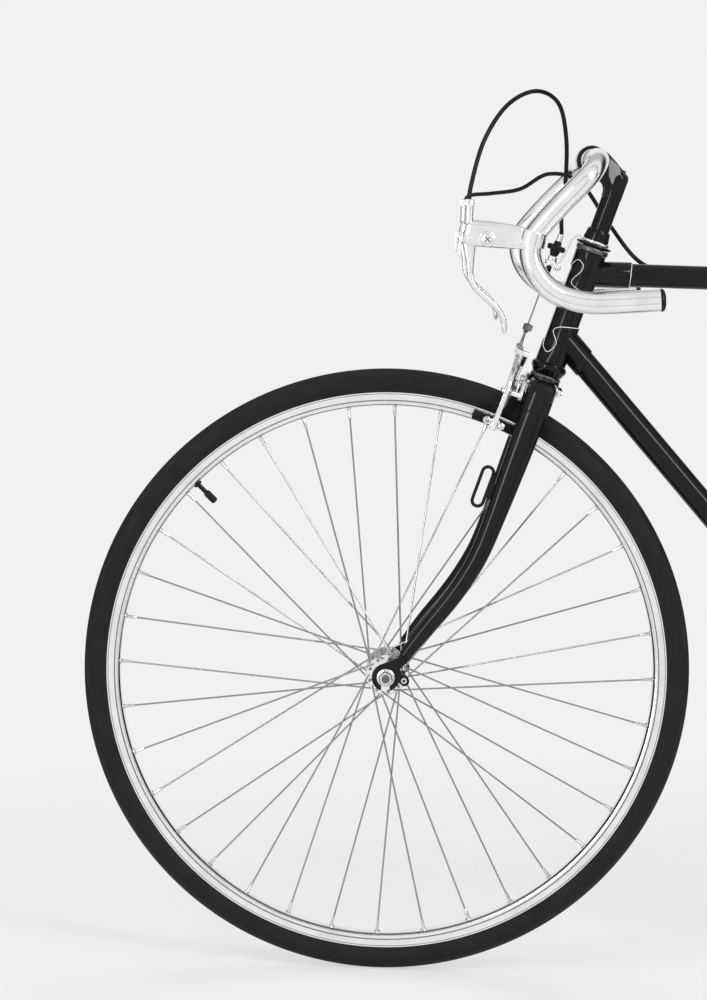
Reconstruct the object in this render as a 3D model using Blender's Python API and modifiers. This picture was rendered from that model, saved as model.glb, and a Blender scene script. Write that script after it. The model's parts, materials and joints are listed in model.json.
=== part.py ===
"""A lugged steel road bicycle with drop handlebars, centre-pull brakes and one gear.

The bicycle stands upright and faces -X. Its left side looks towards -Y and its chain is on the +Y side.
The origin is on the ground, midway between the two axles.
"""
import math

import bmesh
import bpy
from mathutils import Matrix, Vector

# Clearances and meshing
GAP = 0.0003
WELD = 0.00001
FLAT_ANGLE = math.radians(0.05)
TUBE_SIDES = 12
HEAD_SIDES = 12
RUNNING_GAP = 0.0004

# Wheels
RIM_EDGE_RADIUS = 0.3187
TYRE_HEIGHT = 0.0278
TYRE_RADIUS = RIM_EDGE_RADIUS + TYRE_HEIGHT
TYRE_SHOULDER_DROP = 0.0130
TYRE_HALF_WIDTH = 0.0158
TREAD_HALF_WIDTH = 0.004
RIM_HALF_WIDTH = 0.0132
RIM_WALL = 0.0032
RIM_DEPTH = 0.0157
WELL_DEPTH = 0.0079
WHEEL_FACETS = 32
SPOKES_PER_FLANGE = 18
SPOKE_RADIUS = 0.0009
SPOKE_CROSSINGS = 3
FLANGE_RADIUS = 0.0225
SPOKE_HOLE_RADIUS = 0.0190
FLANGE_THICKNESS = 0.0050
FRONT_FLANGE_OFFSET = 0.034
REAR_FLANGE_OFFSET = 0.031
FRONT_AXLE_RADIUS = 0.0045
REAR_AXLE_RADIUS = 0.0048
FRONT_TIP_SPACING = 0.100
REAR_DROPOUT_SPACING = 0.120

# Frame
HEAD_ANGLE = math.radians(71.95)
SEAT_ANGLE = math.radians(72.5)
FORK_RAKE = 0.0545
FRONT_CENTRE = 0.6022
BRACKET_DROP = 0.0692
HEAD_TUBE_LENGTH = 0.132
TOP_TUBE_DROP = 0.0250
DOWN_TUBE_RISE = 0.0335
HEAD_TUBE_RADIUS = 0.0160
HEAD_TUBE_WALL = 0.0013
TOP_TUBE_RADIUS = 0.0131
DOWN_TUBE_RADIUS = 0.0141
SEAT_TUBE_RADIUS = 0.0143
TUBE_WALL = 0.0010
LUG_WALL = 0.0016
SEAT_TUBE_ABOVE_JOINT = 0.030
BRACKET_SHELL_RADIUS = 0.0200
BRACKET_SHELL_WIDTH = 0.068

# Fork and headset, measured up the steering axis from the level of the axles
TYRE_TOP = math.sqrt(TYRE_RADIUS ** 2 - FORK_RAKE ** 2) - FORK_RAKE / math.tan(HEAD_ANGLE)
CROWN_ABOVE_TYRE = 0.033074
CROWN_TOP = TYRE_TOP + CROWN_ABOVE_TYRE
BRAKE_BOLT_DROP = 0.0105
BRAKE_BOLT_HEIGHT = CROWN_TOP - BRAKE_BOLT_DROP
LOWER_STACK = 0.0175
HEAD_TUBE_BOTTOM = CROWN_TOP + LOWER_STACK
HEAD_TUBE_TOP = HEAD_TUBE_BOTTOM + HEAD_TUBE_LENGTH
TOP_TUBE_JOINT = HEAD_TUBE_TOP - TOP_TUBE_DROP
DOWN_TUBE_JOINT = HEAD_TUBE_BOTTOM + DOWN_TUBE_RISE
BLADE_TOP_HALF_SPACING = 0.031
BLADE_TOP_HALF_DEPTH = 0.0147
BLADE_TOP_HALF_THICKNESS = 0.0090
STEERER_RADIUS = 0.0127
STEERER_BORE = 0.01135
STEERER_ABOVE_HEAD = 0.0240
STEERER_TOP = HEAD_TUBE_TOP + STEERER_ABOVE_HEAD
TIP_PLATE = 0.0045
TIP_RING_RADIUS = 0.0160

# Stem and handlebar
QUILL_RADIUS = 0.0110
QUILL_LENGTH = 0.1486
CLAMP_RISE = 0.0966
CLAMP_HEIGHT = HEAD_TUBE_TOP + CLAMP_RISE
QUILL_BOTTOM = CLAMP_HEIGHT - QUILL_LENGTH
CLAMP_REACH = 0.0357
CLAMP_RING_RADIUS = 0.0168
CLAMP_WIDTH = 0.036
BAR_RADIUS = 0.0119
BAR_SLEEVE_RADIUS = 0.0127
BAR_HALF_WIDTH = 0.190

# Drive
CHAIN_PITCH = 0.0127
CHAIN_LINKS = 102
CHAINRING_TEETH = 46
SPROCKET_TEETH = 18
CHAIN_LINE = 0.043
SPROCKET_THICKNESS = 0.0028
CHAIN_INNER_HALF_WIDTH = 0.0022
CHAIN_PLATE = 0.0014
CHAIN_PLATE_HALF_HEIGHT = 0.0042
CHAIN_WAIST_HALF_HEIGHT = 0.0029
ROLLER_RADIUS = 0.0033
CRANK_LENGTH = 0.170
CRANK_ARM_OFFSET = 0.0625
CRANK_HALF_THICKNESS = 0.0065
SPINDLE_RADIUS = 0.0085
PEDAL_CENTRE_OFFSET = 0.121
PEDAL_SPINDLE_RADIUS = 0.0055

# Brakes
PAD_BELOW_RIM_EDGE = 0.0092
PAD_RADIUS = RIM_EDGE_RADIUS - PAD_BELOW_RIM_EDGE
PAD_GAP = 0.0024
PAD_LENGTH = 0.052
PAD_HEIGHT = 0.0105
PAD_THICKNESS = 0.009
ARM_PIVOT_HALF_SPACING = 0.032
ARM_PIVOT_DROP = 0.017
ARM_THICKNESS = 0.0050
HOUSING_RADIUS = 0.0024
HOUSING_GAP = 0.0007
BRAKE_WIRE_RADIUS = 0.0009

# Seat
SEAT_POST_RADIUS = 0.0133
SEAT_POST_TOP = 0.672
SADDLE_LENGTH = 0.278
SADDLE_HALF_WIDTH = 0.074
SADDLE_HEIGHT = 0.031
SADDLE_SKIRT = 0.022
RAIL_RISE = 0.0290
RAIL_RADIUS = 0.0035
RAIL_HALF_SPACING = 0.022

# Hubs
HUB_END = 0.0062
FREEWHEEL_BORE = 0.0172

# Lugs, stays and bridges
UPPER_LUG_REACH = 0.0180
LOWER_LUG_REACH = 0.0145
UPPER_LUG_BOTTOM = TOP_TUBE_JOINT - UPPER_LUG_REACH
LOWER_LUG_TOP = DOWN_TUBE_JOINT + LOWER_LUG_REACH
UPPER_LUG_CURL = [(-2 * HEAD_TUBE_RADIUS, 0.0050), (-0.0165, 0.0050), (-0.0119, 0.0131), (-0.0048, 0.0097),
                  (-0.0040, 0.0028), (-0.0092, -0.0077), (-0.0101, -0.0134), (-0.0032, -0.0176)]
LOWER_LUG_CURL = [(-2 * HEAD_TUBE_RADIUS, -0.0099), (-0.0162, -0.0099), (-0.0156, -0.0157),
                  (-0.0084, -0.0219),
                  (-0.0027, -0.0095), (-0.0105, 0.0025), (-0.0042, 0.0091), (0.0100, 0.0130),
                  (2 * HEAD_TUBE_RADIUS, 0.0140)]
TOP_SOCKET = 0.052
DOWN_SOCKET = 0.062
CHAIN_STAY_SHELL_OFFSET = 0.0200
CHAIN_STAY_RADIUS = 0.0100
STAY_END_RADIUS = 0.0062
DROPOUT_INSIDE = REAR_DROPOUT_SPACING / 2
DROPOUT_MIDDLE = DROPOUT_INSIDE + TIP_PLATE / 2
DROPOUT_FRONT = 0.030
SEAT_STAY_END = 0.020
BRIDGE_ABOVE_TYRE = 0.0235
BRIDGE_DISTANCE = TYRE_RADIUS + BRIDGE_ABOVE_TYRE
BINDER_HALF_WIDTH = 0.0070

# Headset parts and the stop for the front housing
HANGER_BASE = HEAD_TUBE_TOP + 0.0062 + RUNNING_GAP + 0.0040 + GAP
HANGER_THICKNESS = 0.0030
WIRE_ACROSS = -0.0388
HOUSING_STOP_BELOW_HEAD = 0.0030
HOUSING_STOP_LENGTH = 0.0300
KNOB_RADIUS = 0.0098
KNOB_HEIGHT = 0.0062
HOUSING_STOP_TOP = HEAD_TUBE_TOP - HOUSING_STOP_BELOW_HEAD
HOUSING_STOP_BOTTOM = HOUSING_STOP_TOP - HOUSING_STOP_LENGTH
BLADE_SIDES = 10

# Handlebar bends and levers, from the middle of the bar clamp
BAR_BENDS = [(0.0, 0.0, 0.060), (0.0, 0.0, 0.125), (-0.0020, -0.0040, 0.163), (-0.0095, -0.0160, 0.184),
             (-0.0210, -0.0290, 0.190), (-0.0410, -0.0505, 0.190), (-0.0575, -0.0700, 0.190),
             (-0.0685, -0.0860, 0.190), (-0.0712, -0.1030, 0.190), (-0.0655, -0.1210, 0.190),
             (-0.0520, -0.1375, 0.190),
             (-0.0340, -0.1480, 0.190), (-0.0120, -0.1528, 0.190), (0.0140, -0.1528, 0.190),
             (0.0700, -0.1480, 0.190)]
LEVER_PIVOT = Vector((-0.1369, 0, -0.0890))
LEVER_SLOT = 0.0072
BLADE_PATH = [(-0.1369, -0.0890, 0.0080), (-0.1355, -0.1050, 0.0060), (-0.1342, -0.1290, 0.0036),
              (-0.1290, -0.1400, 0.0036), (-0.1190, -0.1490, 0.0036), (-0.1020, -0.1640, 0.0034),
              (-0.0965, -0.1760, 0.0032), (-0.0955, -0.1870, 0.0024)]
FRONT_HOUSING = [(-0.1375, -0.0575, 0.190), (-0.1368, -0.0350, 0.190), (-0.1240, 0.0150, 0.180),
                 (-0.1000, 0.0540, 0.156), (-0.0690, 0.0710, 0.122), (-0.0430, 0.0600, 0.088),
                 (-0.0320, 0.0250, 0.064), (-0.0295, -0.0200, 0.040), (-0.0312, -0.0640, 0.012)]
REAR_HOUSING = [(-0.1375, -0.0575, 0.190), (-0.1330, -0.0430, 0.187), (-0.1060, -0.0390, 0.165),
                (-0.0740, -0.0330, 0.132), (-0.0430, -0.0150, 0.098), (-0.0080, -0.0240, 0.066),
                (0.0250, -0.0700, 0.036), (0.0560, -0.1080, 0.020)]

# Brakes; the forward figures say how far ahead of the bolt's centre the rear one of the two arms lies
BRAKE_BOLT_RADIUS = 0.0030
STUD_LENGTH = 0.0155
ARM_TIP_SIDE = 0.030
ARM_TIP_HEIGHT = 0.029
ANCHOR_RADIUS = 0.0040
STRADDLE_FORWARD = 0.0078
FRONT_ARM_FORWARD = 0.0310
REAR_ARM_FORWARD = 0.0233
ARM_SPACING = 0.0060
CROWN_HALF_DEPTH = 0.0162
BRIDGE_HALF_DEPTH = 0.0085
YOKE_HEIGHT = 0.056
REAR_STOP_LOW = 0.100

# Ring and pedals
SPIDER_ARMS = 5
RING_HOLE_RADIUS = 0.063
SPIDER_REACH = 0.072
PEDAL_HALF_LENGTH = 0.031
PEDAL_INNER = -0.043
PEDAL_OUTER = 0.043


def solve_chain_stay():
    """Distance between the axles of ring and sprocket at which the chain closes without slack."""
    ring_radius = pitch_radius(CHAINRING_TEETH)
    sprocket_radius = pitch_radius(SPROCKET_TEETH)
    distance = 0.44
    for _ in range(40):
        slope = math.asin((ring_radius - sprocket_radius) / distance)
        ring_links = CHAINRING_TEETH * (math.pi + 2 * slope) / math.tau
        sprocket_links = SPROCKET_TEETH * (math.pi - 2 * slope) / math.tau
        straight = (CHAIN_LINKS - ring_links - sprocket_links) * CHAIN_PITCH / 2
        distance = straight / math.cos(slope)
    return distance


def pitch_radius(teeth):
    return CHAIN_PITCH / (2 * math.sin(math.pi / teeth))


CHAIN_STAY = solve_chain_stay()
WHEELBASE = (math.sqrt(FRONT_CENTRE ** 2 - BRACKET_DROP ** 2)
             + math.sqrt(CHAIN_STAY ** 2 - BRACKET_DROP ** 2))
AXLE_HEIGHT = TYRE_RADIUS * math.cos(math.pi / WHEEL_FACETS)
FRONT_AXLE = Vector((-WHEELBASE / 2, 0, AXLE_HEIGHT))
REAR_AXLE = Vector((WHEELBASE / 2, 0, AXLE_HEIGHT))
BRACKET = Vector((FRONT_AXLE.x + math.sqrt(FRONT_CENTRE ** 2 - BRACKET_DROP ** 2), 0,
                  AXLE_HEIGHT - BRACKET_DROP))
RIGHT = Vector((0, 1, 0))
STEER_UP = Vector((math.cos(HEAD_ANGLE), 0, math.sin(HEAD_ANGLE)))
STEER_BACK = Vector((math.sin(HEAD_ANGLE), 0, -math.cos(HEAD_ANGLE)))
STEER_FOOT = FRONT_AXLE + Vector((FORK_RAKE / math.sin(HEAD_ANGLE), 0, 0))
SEAT_UP = Vector((math.cos(SEAT_ANGLE), 0, math.sin(SEAT_ANGLE)))
SEAT_BACK = Vector((math.sin(SEAT_ANGLE), 0, -math.cos(SEAT_ANGLE)))
SADDLE_CLAMP_CENTRE = BRACKET + SEAT_UP * (SEAT_POST_TOP + 0.004)


def on_steering_axis(along, across=0.0, side=0.0):
    """A point up the steering axis, behind it and to its right."""
    return STEER_FOOT + STEER_UP * along + STEER_BACK * across + RIGHT * side


def on_seat_tube(along, across=0.0, side=0.0):
    """A point up the seat tube from the bottom bracket, behind it and to its right."""
    return BRACKET + SEAT_UP * along + SEAT_BACK * across + RIGHT * side


def seat_cluster_height():
    """Distance up the seat tube to the centre line of the level top tube."""
    return (on_steering_axis(TOP_TUBE_JOINT).z - BRACKET.z) / SEAT_UP.z


# Building tools

def clear_scene():
    for thing in list(bpy.data.objects):
        bpy.data.objects.remove(thing)


def new_collection(name):
    group = bpy.data.collections.new(name)
    bpy.context.scene.collection.children.link(group)
    return group


clear_scene()
BICYCLE = new_collection("bicycle")
AXES = {}


def mesh_object(bm):
    """A work piece from a bmesh."""
    mesh = bpy.data.meshes.new("work")
    bm.to_mesh(mesh)
    bm.free()
    piece = bpy.data.objects.new("work", mesh)
    BICYCLE.objects.link(piece)
    return piece


def settle(piece):
    """Turn an object's modifiers, or a curve, into a plain welded mesh in world space."""
    bpy.context.view_layer.update()
    graph = bpy.context.evaluated_depsgraph_get()
    mesh = bpy.data.meshes.new_from_object(piece.evaluated_get(graph))
    mesh.transform(piece.matrix_world)
    bm = bmesh.new()
    bm.from_mesh(mesh)
    bmesh.ops.remove_doubles(bm, verts=bm.verts, dist=WELD)
    bmesh.ops.dissolve_degenerate(bm, edges=bm.edges, dist=WELD)
    bmesh.ops.dissolve_limit(bm, angle_limit=FLAT_ANGLE, verts=bm.verts, edges=bm.edges)
    bmesh.ops.delete(bm, geom=[edge for edge in bm.edges if not edge.link_faces], context="EDGES")
    bmesh.ops.delete(bm, geom=[vert for vert in bm.verts if not vert.link_faces], context="VERTS")
    bmesh.ops.recalc_face_normals(bm, faces=bm.faces)
    bpy.data.objects.remove(piece)
    return mesh_object(bm)


def boolean(target, others, operation):
    for other in others:
        modifier = target.modifiers.new("boolean", "BOOLEAN")
        modifier.operation = operation
        modifier.solver = "EXACT"
        modifier.object = other
    solid = settle(target)
    for other in others:
        bpy.data.objects.remove(other)
    return solid


def union(target, *others):
    return boolean(target, others, "UNION")


def cut(target, *cutters):
    return boolean(target, cutters, "DIFFERENCE")


def aligned(centre, direction):
    """A placement whose Z axis runs along a direction."""
    turn = Vector(direction).to_track_quat("Z", "Y").to_matrix().to_4x4()
    return Matrix.Translation(centre) @ turn


def rod(start, end, radius, end_radius=None, sides=TUBE_SIDES):
    """A round bar or a cone between two points."""
    start = Vector(start)
    end = Vector(end)
    bm = bmesh.new()
    bmesh.ops.create_cone(bm, cap_ends=True, segments=sides, radius1=radius,
                          radius2=radius if end_radius is None else end_radius,
                          depth=(end - start).length, matrix=aligned((start + end) / 2, end - start))
    return mesh_object(bm)


def block(centre, x_axis, y_axis, size):
    """A rectangular block whose first two sides follow the given directions."""
    x_axis = Vector(x_axis).normalized()
    y_axis = Vector(y_axis).normalized()
    turn = Matrix((x_axis, y_axis, x_axis.cross(y_axis))).transposed().to_4x4()
    bm = bmesh.new()
    bmesh.ops.create_cube(bm, size=1, matrix=Matrix.Translation(centre) @ turn @ Matrix.Diagonal((*size, 1)))
    return mesh_object(bm)


def round_bore(radius, sides):
    """Corner radius of a faceted bore in which a round piece of the given radius can turn."""
    return radius / math.cos(math.pi / sides)


def turned(profile, base, direction, steps=HEAD_SIDES, phase=0.0, closed=True):
    """A turned ring from a profile of (radius, height) points; one that isn't closed ends on its axis."""
    mesh = bpy.data.meshes.new("profile")
    count = len(profile)
    mesh.from_pydata([(radius, 0, height) for radius, height in profile],
                     [(index, (index + 1) % count) for index in range(count if closed else count - 1)], [])
    piece = bpy.data.objects.new("work", mesh)
    BICYCLE.objects.link(piece)
    screw = piece.modifiers.new("screw", "SCREW")
    screw.steps = steps
    screw.render_steps = steps
    screw.use_merge_vertices = True
    screw.merge_threshold = WELD
    piece.matrix_world = aligned(base, direction) @ Matrix.Rotation(phase, 4, "Z")
    return settle(piece)


def pipe(start, end, radius, bore, sides=TUBE_SIDES):
    """A straight open tube."""
    length = (Vector(end) - Vector(start)).length
    return turned([(radius, length), (radius, 0), (bore, 0), (bore, length)], start,
                  Vector(end) - Vector(start), sides)


def wire(points, radius, bevel_resolution=2):
    """A bent round bar through a list of points."""
    curve = bpy.data.curves.new("wire", "CURVE")
    curve.dimensions = "3D"
    curve.bevel_depth = radius
    curve.bevel_resolution = bevel_resolution
    curve.use_fill_caps = True
    spline = curve.splines.new("POLY")
    spline.points.add(len(points) - 1)
    for point, place in zip(spline.points, points):
        point.co = (*place, 1)
    piece = bpy.data.objects.new("work", curve)
    BICYCLE.objects.link(piece)
    return settle(piece)


def smooth_route(points, steps):
    """Points along a smooth curve through the given points, evenly numbered between each two."""
    points = [Vector(point) for point in points]
    ends = [points[0] * 2 - points[1]] + points + [points[-1] * 2 - points[-2]]
    route = []
    for before, start, end, after in zip(ends, ends[1:], ends[2:], ends[3:]):
        for step in range(steps):
            t = step / steps
            route.append(0.5 * (2 * start + (end - before) * t
                                + (2 * before - 5 * start + 4 * end - after) * t ** 2
                                + (3 * start - before - 3 * end + after) * t ** 3))
    return route + [points[-1]]


def plate(outline, thickness, placement, holes=()):
    """A flat plate from an outline with holes, centred on its own middle plane."""
    curve = bpy.data.curves.new("outline", "CURVE")
    curve.dimensions = "2D"
    curve.fill_mode = "BOTH"
    curve.extrude = thickness / 2
    for loop in (outline, *holes):
        spline = curve.splines.new("POLY")
        spline.points.add(len(loop) - 1)
        for point, (x, y) in zip(spline.points, loop):
            point.co = (x, y, 0, 1)
        spline.use_cyclic_u = True
    piece = bpy.data.objects.new("work", curve)
    BICYCLE.objects.link(piece)
    piece.matrix_world = placement
    return settle(piece)


def side_view(y):
    """A placement whose X and Y axes are the bicycle's X and Z, at a distance to the right."""
    return Matrix(((1, 0, 0, 0), (0, 0, -1, y), (0, 1, 0, 0), (0, 0, 0, 1)))


def circle(centre, radius, sides=12, start=0.0, end=math.tau):
    """Points on a circle, or on an arc where start and end are given."""
    whole = abs(end - start) >= math.tau - 0.001
    count = sides if whole else sides - 1
    return [(centre[0] + radius * math.cos(start + (end - start) * step / count),
             centre[1] + radius * math.sin(start + (end - start) * step / count)) for step in range(sides)]


def loft(rings):
    """A closed solid through rings of points, each ring with the same count."""
    bm = bmesh.new()
    loops = [[bm.verts.new(point) for point in ring] for ring in rings]
    count = len(loops[0])
    for lower, upper in zip(loops, loops[1:]):
        for index in range(count):
            following = (index + 1) % count
            bm.faces.new((lower[index], lower[following], upper[following], upper[index]))
    bm.faces.new(loops[0])
    bm.faces.new(loops[-1])
    bmesh.ops.recalc_face_normals(bm, faces=bm.faces)
    return mesh_object(bm)


def oval_bar(stations, side_axis, sides=12, squareness=1.0):
    """A bar through (centre, half depth, half thickness) stations; its thickness lies along side_axis."""
    centres = [Vector(station[0]) for station in stations]
    rings = []
    for index, (centre, depth, thickness) in enumerate(stations):
        before = centres[max(index - 1, 0)]
        after = centres[min(index + 1, len(centres) - 1)]
        tangent = (after - before).normalized()
        side = (Vector(side_axis) - tangent * tangent.dot(side_axis)).normalized()
        out = tangent.cross(side)
        ring = []
        for step in range(sides):
            angle = math.tau * (step + 0.5) / sides
            c = math.copysign(abs(math.cos(angle)) ** squareness, math.cos(angle))
            s = math.copysign(abs(math.sin(angle)) ** squareness, math.sin(angle))
            ring.append(Vector(centre) + out * depth * c + side * thickness * s)
        rings.append(ring)
    return loft(rings)


def make_material(name, color, roughness, metallic):
    material = bpy.data.materials.new(name)
    material.use_nodes = True
    shader = material.node_tree.nodes["Principled BSDF"]
    shader.inputs["Base Color"].default_value = (*color, 1)
    shader.inputs["Roughness"].default_value = roughness
    shader.inputs["Metallic"].default_value = metallic
    material.diffuse_color = (*color, 1)
    return material


BLACK_PAINT = make_material("black_paint", (0.015, 0.015, 0.016), 0.22, 0.0)
POLISHED_ALLOY = make_material("polished_alloy", (0.82, 0.82, 0.83), 0.22, 1.0)
BRIGHT_STEEL = make_material("bright_steel", (0.75, 0.75, 0.76), 0.25, 1.0)
DARK_STEEL = make_material("dark_steel", (0.10, 0.10, 0.105), 0.40, 1.0)
TYRE_RUBBER = make_material("tyre_rubber", (0.03, 0.03, 0.03), 0.75, 0.0)
HOUSING_PLASTIC = make_material("housing_plastic", (0.012, 0.012, 0.012), 0.45, 0.0)
SADDLE_LEATHER = make_material("saddle_leather", (0.02, 0.018, 0.017), 0.50, 0.0)
PEDAL_STEEL = make_material("pedal_steel", (0.60, 0.60, 0.61), 0.30, 1.0)


def axis_empty(name, place, parent=None):
    """An empty on a joint's axis, to which the moving pieces are parented."""
    empty = bpy.data.objects.new(name, None)
    BICYCLE.objects.link(empty)
    empty.location = place if parent is None else Vector(place) - AXES[parent].matrix_world.translation
    if parent is not None:
        empty.parent = AXES[parent]
    bpy.context.view_layer.update()
    AXES[name] = empty


def finish(piece, name, material, axis, sharp_angle=35):
    """Name a piece, give it its material and put its origin on its axis."""
    place = AXES[axis].matrix_world.translation
    piece.name = name
    piece.data.name = name
    piece.data.transform(Matrix.Translation(-place))
    piece.data.materials.clear()
    piece.data.materials.append(material)
    piece.parent = AXES[axis]
    piece.data.shade_smooth()
    piece.data.set_sharp_from_angle(angle=math.radians(sharp_angle))
    return piece


# Wheels

def tyre(axle, name, axis):
    """A tyre with a flat tread strip and beads that sit inside the rim."""
    neck = RIM_HALF_WIDTH - RUNNING_GAP
    half = [(TYRE_RADIUS, TREAD_HALF_WIDTH),
            (TYRE_RADIUS - TYRE_SHOULDER_DROP, TYRE_HALF_WIDTH),
            (RIM_EDGE_RADIUS + RUNNING_GAP, neck),
            (RIM_EDGE_RADIUS - WELL_DEPTH + RUNNING_GAP, neck - RIM_WALL)]
    profile = half + [(radius, -offset) for radius, offset in reversed(half)]
    ring = turned(profile, axle, RIGHT, WHEEL_FACETS, math.pi / WHEEL_FACETS)
    return finish(ring, name, TYRE_RUBBER, axis, 50)


def rim(axle, name, axis):
    """A rim with a well for the tyre's beads and a rounded inner side."""
    well = RIM_EDGE_RADIUS - WELL_DEPTH
    half = [(well, RIM_HALF_WIDTH - RIM_WALL),
            (RIM_EDGE_RADIUS, RIM_HALF_WIDTH),
            (RIM_EDGE_RADIUS - RIM_DEPTH + 0.003, RIM_HALF_WIDTH - 0.0007),
            (RIM_EDGE_RADIUS - RIM_DEPTH, 0.007)]
    profile = half + [(radius, -offset) for radius, offset in reversed(half)]
    ring = turned(profile, axle, RIGHT, WHEEL_FACETS, math.pi / WHEEL_FACETS)
    return finish(ring, name, POLISHED_ALLOY, axis, 25)


def spoke(axle, flange_side, flange_offset, number):
    """One spoke from its flange hole to the rim, laid across its neighbours on the same flange."""
    leading = 1 if number % 2 else -1
    pitch = math.tau / SPOKES_PER_FLANGE
    hub_angle = number * pitch + (pitch / 2 if flange_side > 0 else 0)
    rim_angle = hub_angle + leading * SPOKE_CROSSINGS * pitch
    lean = flange_side * (flange_offset + leading * 0.0014)
    reach = (RIM_EDGE_RADIUS - RIM_DEPTH) * math.cos(math.pi / WHEEL_FACETS) - RUNNING_GAP
    start = axle + Vector((SPOKE_HOLE_RADIUS * math.cos(hub_angle), lean,
                           SPOKE_HOLE_RADIUS * math.sin(hub_angle)))
    end = axle + Vector((reach * math.cos(rim_angle), 0, reach * math.sin(rim_angle)))
    along = (end - start).normalized()
    return rod(start - along * SPOKE_RADIUS, end - along * RUNNING_GAP, SPOKE_RADIUS, sides=3)


def join_loose(pieces):
    """Several separate work pieces as one object."""
    bm = bmesh.new()
    for piece in pieces:
        bm.from_mesh(piece.data)
        bpy.data.objects.remove(piece)
    return mesh_object(bm)


def spoked_hub(axle, flange_offset, shell_radius, axle_radius, name, axis, boss_end=None):
    """A hub shell with two flanges and its spokes; boss_end lengthens the right end for a freewheel."""
    bore = axle_radius + 0.0009
    flange = [(FLANGE_RADIUS, flange_offset + FLANGE_THICKNESS / 2),
              (FLANGE_RADIUS, flange_offset - FLANGE_THICKNESS / 2),
              (shell_radius, flange_offset - 0.006)]
    end = [(bore, flange_offset + HUB_END), (0.0115, flange_offset + HUB_END)]
    left = [(radius, -offset) for radius, offset in reversed(end + flange)]
    if boss_end is not None:
        thread = FREEWHEEL_BORE - RUNNING_GAP
        end = [(bore, boss_end), (thread, boss_end), (thread, flange_offset + FLANGE_THICKNESS / 2)]
    shell = turned(end + flange + left, axle, RIGHT, 12, math.radians(4))
    spokes = [spoke(axle, side, flange_offset, number)
              for side in (-1, 1) for number in range(SPOKES_PER_FLANGE)]
    return finish(union(shell, join_loose(spokes)), name, BRIGHT_STEEL, axis, 30)


def wheel_axle(axle, radius, spacing, left_cone, right_cone, name, axis):
    """A threaded axle with its cones, washers and nuts."""
    inside = spacing / 2 - GAP
    plate_end = spacing / 2 + TIP_PLATE + GAP
    end = plate_end + 0.0140

    def half(cone):
        return [(radius, cone), (0.0085, cone + 0.002), (0.0085, inside), (radius, inside), (radius, end),
                (0, end)]

    profile = [(r, -offset) for r, offset in reversed(half(left_cone))] + half(right_cone)
    pieces = []
    for side in (-1, 1):
        pieces.append(rod(axle + RIGHT * side * plate_end, axle + RIGHT * side * (plate_end + 0.0018), 0.0098,
                          sides=8))
        pieces.append(rod(axle + RIGHT * side * (plate_end + 0.0012),
                          axle + RIGHT * side * (plate_end + 0.0100), 0.0082,
                          sides=6))
    bar = turned(profile, axle, RIGHT, 8, closed=False)
    return finish(union(bar, *pieces), name, BRIGHT_STEEL, axis, 30)


# Frame

def long_rod(start, end, radius, sides=TUBE_SIDES, reach=0.3):
    """A round cutter that runs on past both ends."""
    along = (Vector(end) - Vector(start)).normalized() * reach
    return rod(Vector(start) - along, Vector(end) + along, radius, sides=sides)


def head_cutter(clearance):
    return rod(on_steering_axis(HEAD_TUBE_BOTTOM - 0.05), on_steering_axis(HEAD_TUBE_TOP + 0.05),
               HEAD_TUBE_RADIUS + clearance, sides=HEAD_SIDES)


def seat_tube_top():
    return seat_cluster_height() + SEAT_TUBE_ABOVE_JOINT


def shell_cutter(clearance):
    half = BRACKET_SHELL_WIDTH / 2 + 0.02
    return rod(BRACKET - RIGHT * half, BRACKET + RIGHT * half, BRACKET_SHELL_RADIUS + clearance,
               sides=HEAD_SIDES)


def seat_cutter(clearance):
    return rod(BRACKET, on_seat_tube(seat_tube_top() + 0.05), SEAT_TUBE_RADIUS + clearance)


def frame_tubes():
    head = turned([(HEAD_TUBE_RADIUS, HEAD_TUBE_TOP), (HEAD_TUBE_RADIUS, HEAD_TUBE_BOTTOM),
                   (HEAD_TUBE_RADIUS - HEAD_TUBE_WALL, HEAD_TUBE_BOTTOM),
                   (HEAD_TUBE_RADIUS - HEAD_TUBE_WALL, HEAD_TUBE_TOP)],
                  STEER_FOOT, STEER_UP, HEAD_SIDES)
    finish(head, "head_tube", BLACK_PAINT, "frame_origin")
    top = pipe(on_steering_axis(TOP_TUBE_JOINT), on_seat_tube(seat_cluster_height()), TOP_TUBE_RADIUS,
               TOP_TUBE_RADIUS - TUBE_WALL)
    finish(cut(top, head_cutter(GAP), seat_cutter(GAP)), "top_tube", BLACK_PAINT, "frame_origin")
    down = pipe(on_steering_axis(DOWN_TUBE_JOINT), BRACKET, DOWN_TUBE_RADIUS, DOWN_TUBE_RADIUS - TUBE_WALL)
    finish(cut(down, head_cutter(GAP), shell_cutter(GAP), seat_cutter(GAP)), "down_tube", BLACK_PAINT,
           "frame_origin")
    seat = pipe(BRACKET, on_seat_tube(seat_tube_top()), SEAT_TUBE_RADIUS, SEAT_POST_RADIUS + GAP)
    finish(cut(seat, shell_cutter(GAP)), "seat_tube", BLACK_PAINT, "frame_origin")


def steering_view(middle=0.0):
    """A placement whose X runs back from the steering axis and whose Y runs up it."""
    columns = (*STEER_BACK, 0), (*STEER_UP, 0), (*(-RIGHT), 0), (*(STEER_FOOT + RIGHT * middle), 1)
    return Matrix(columns).transposed()


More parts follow.
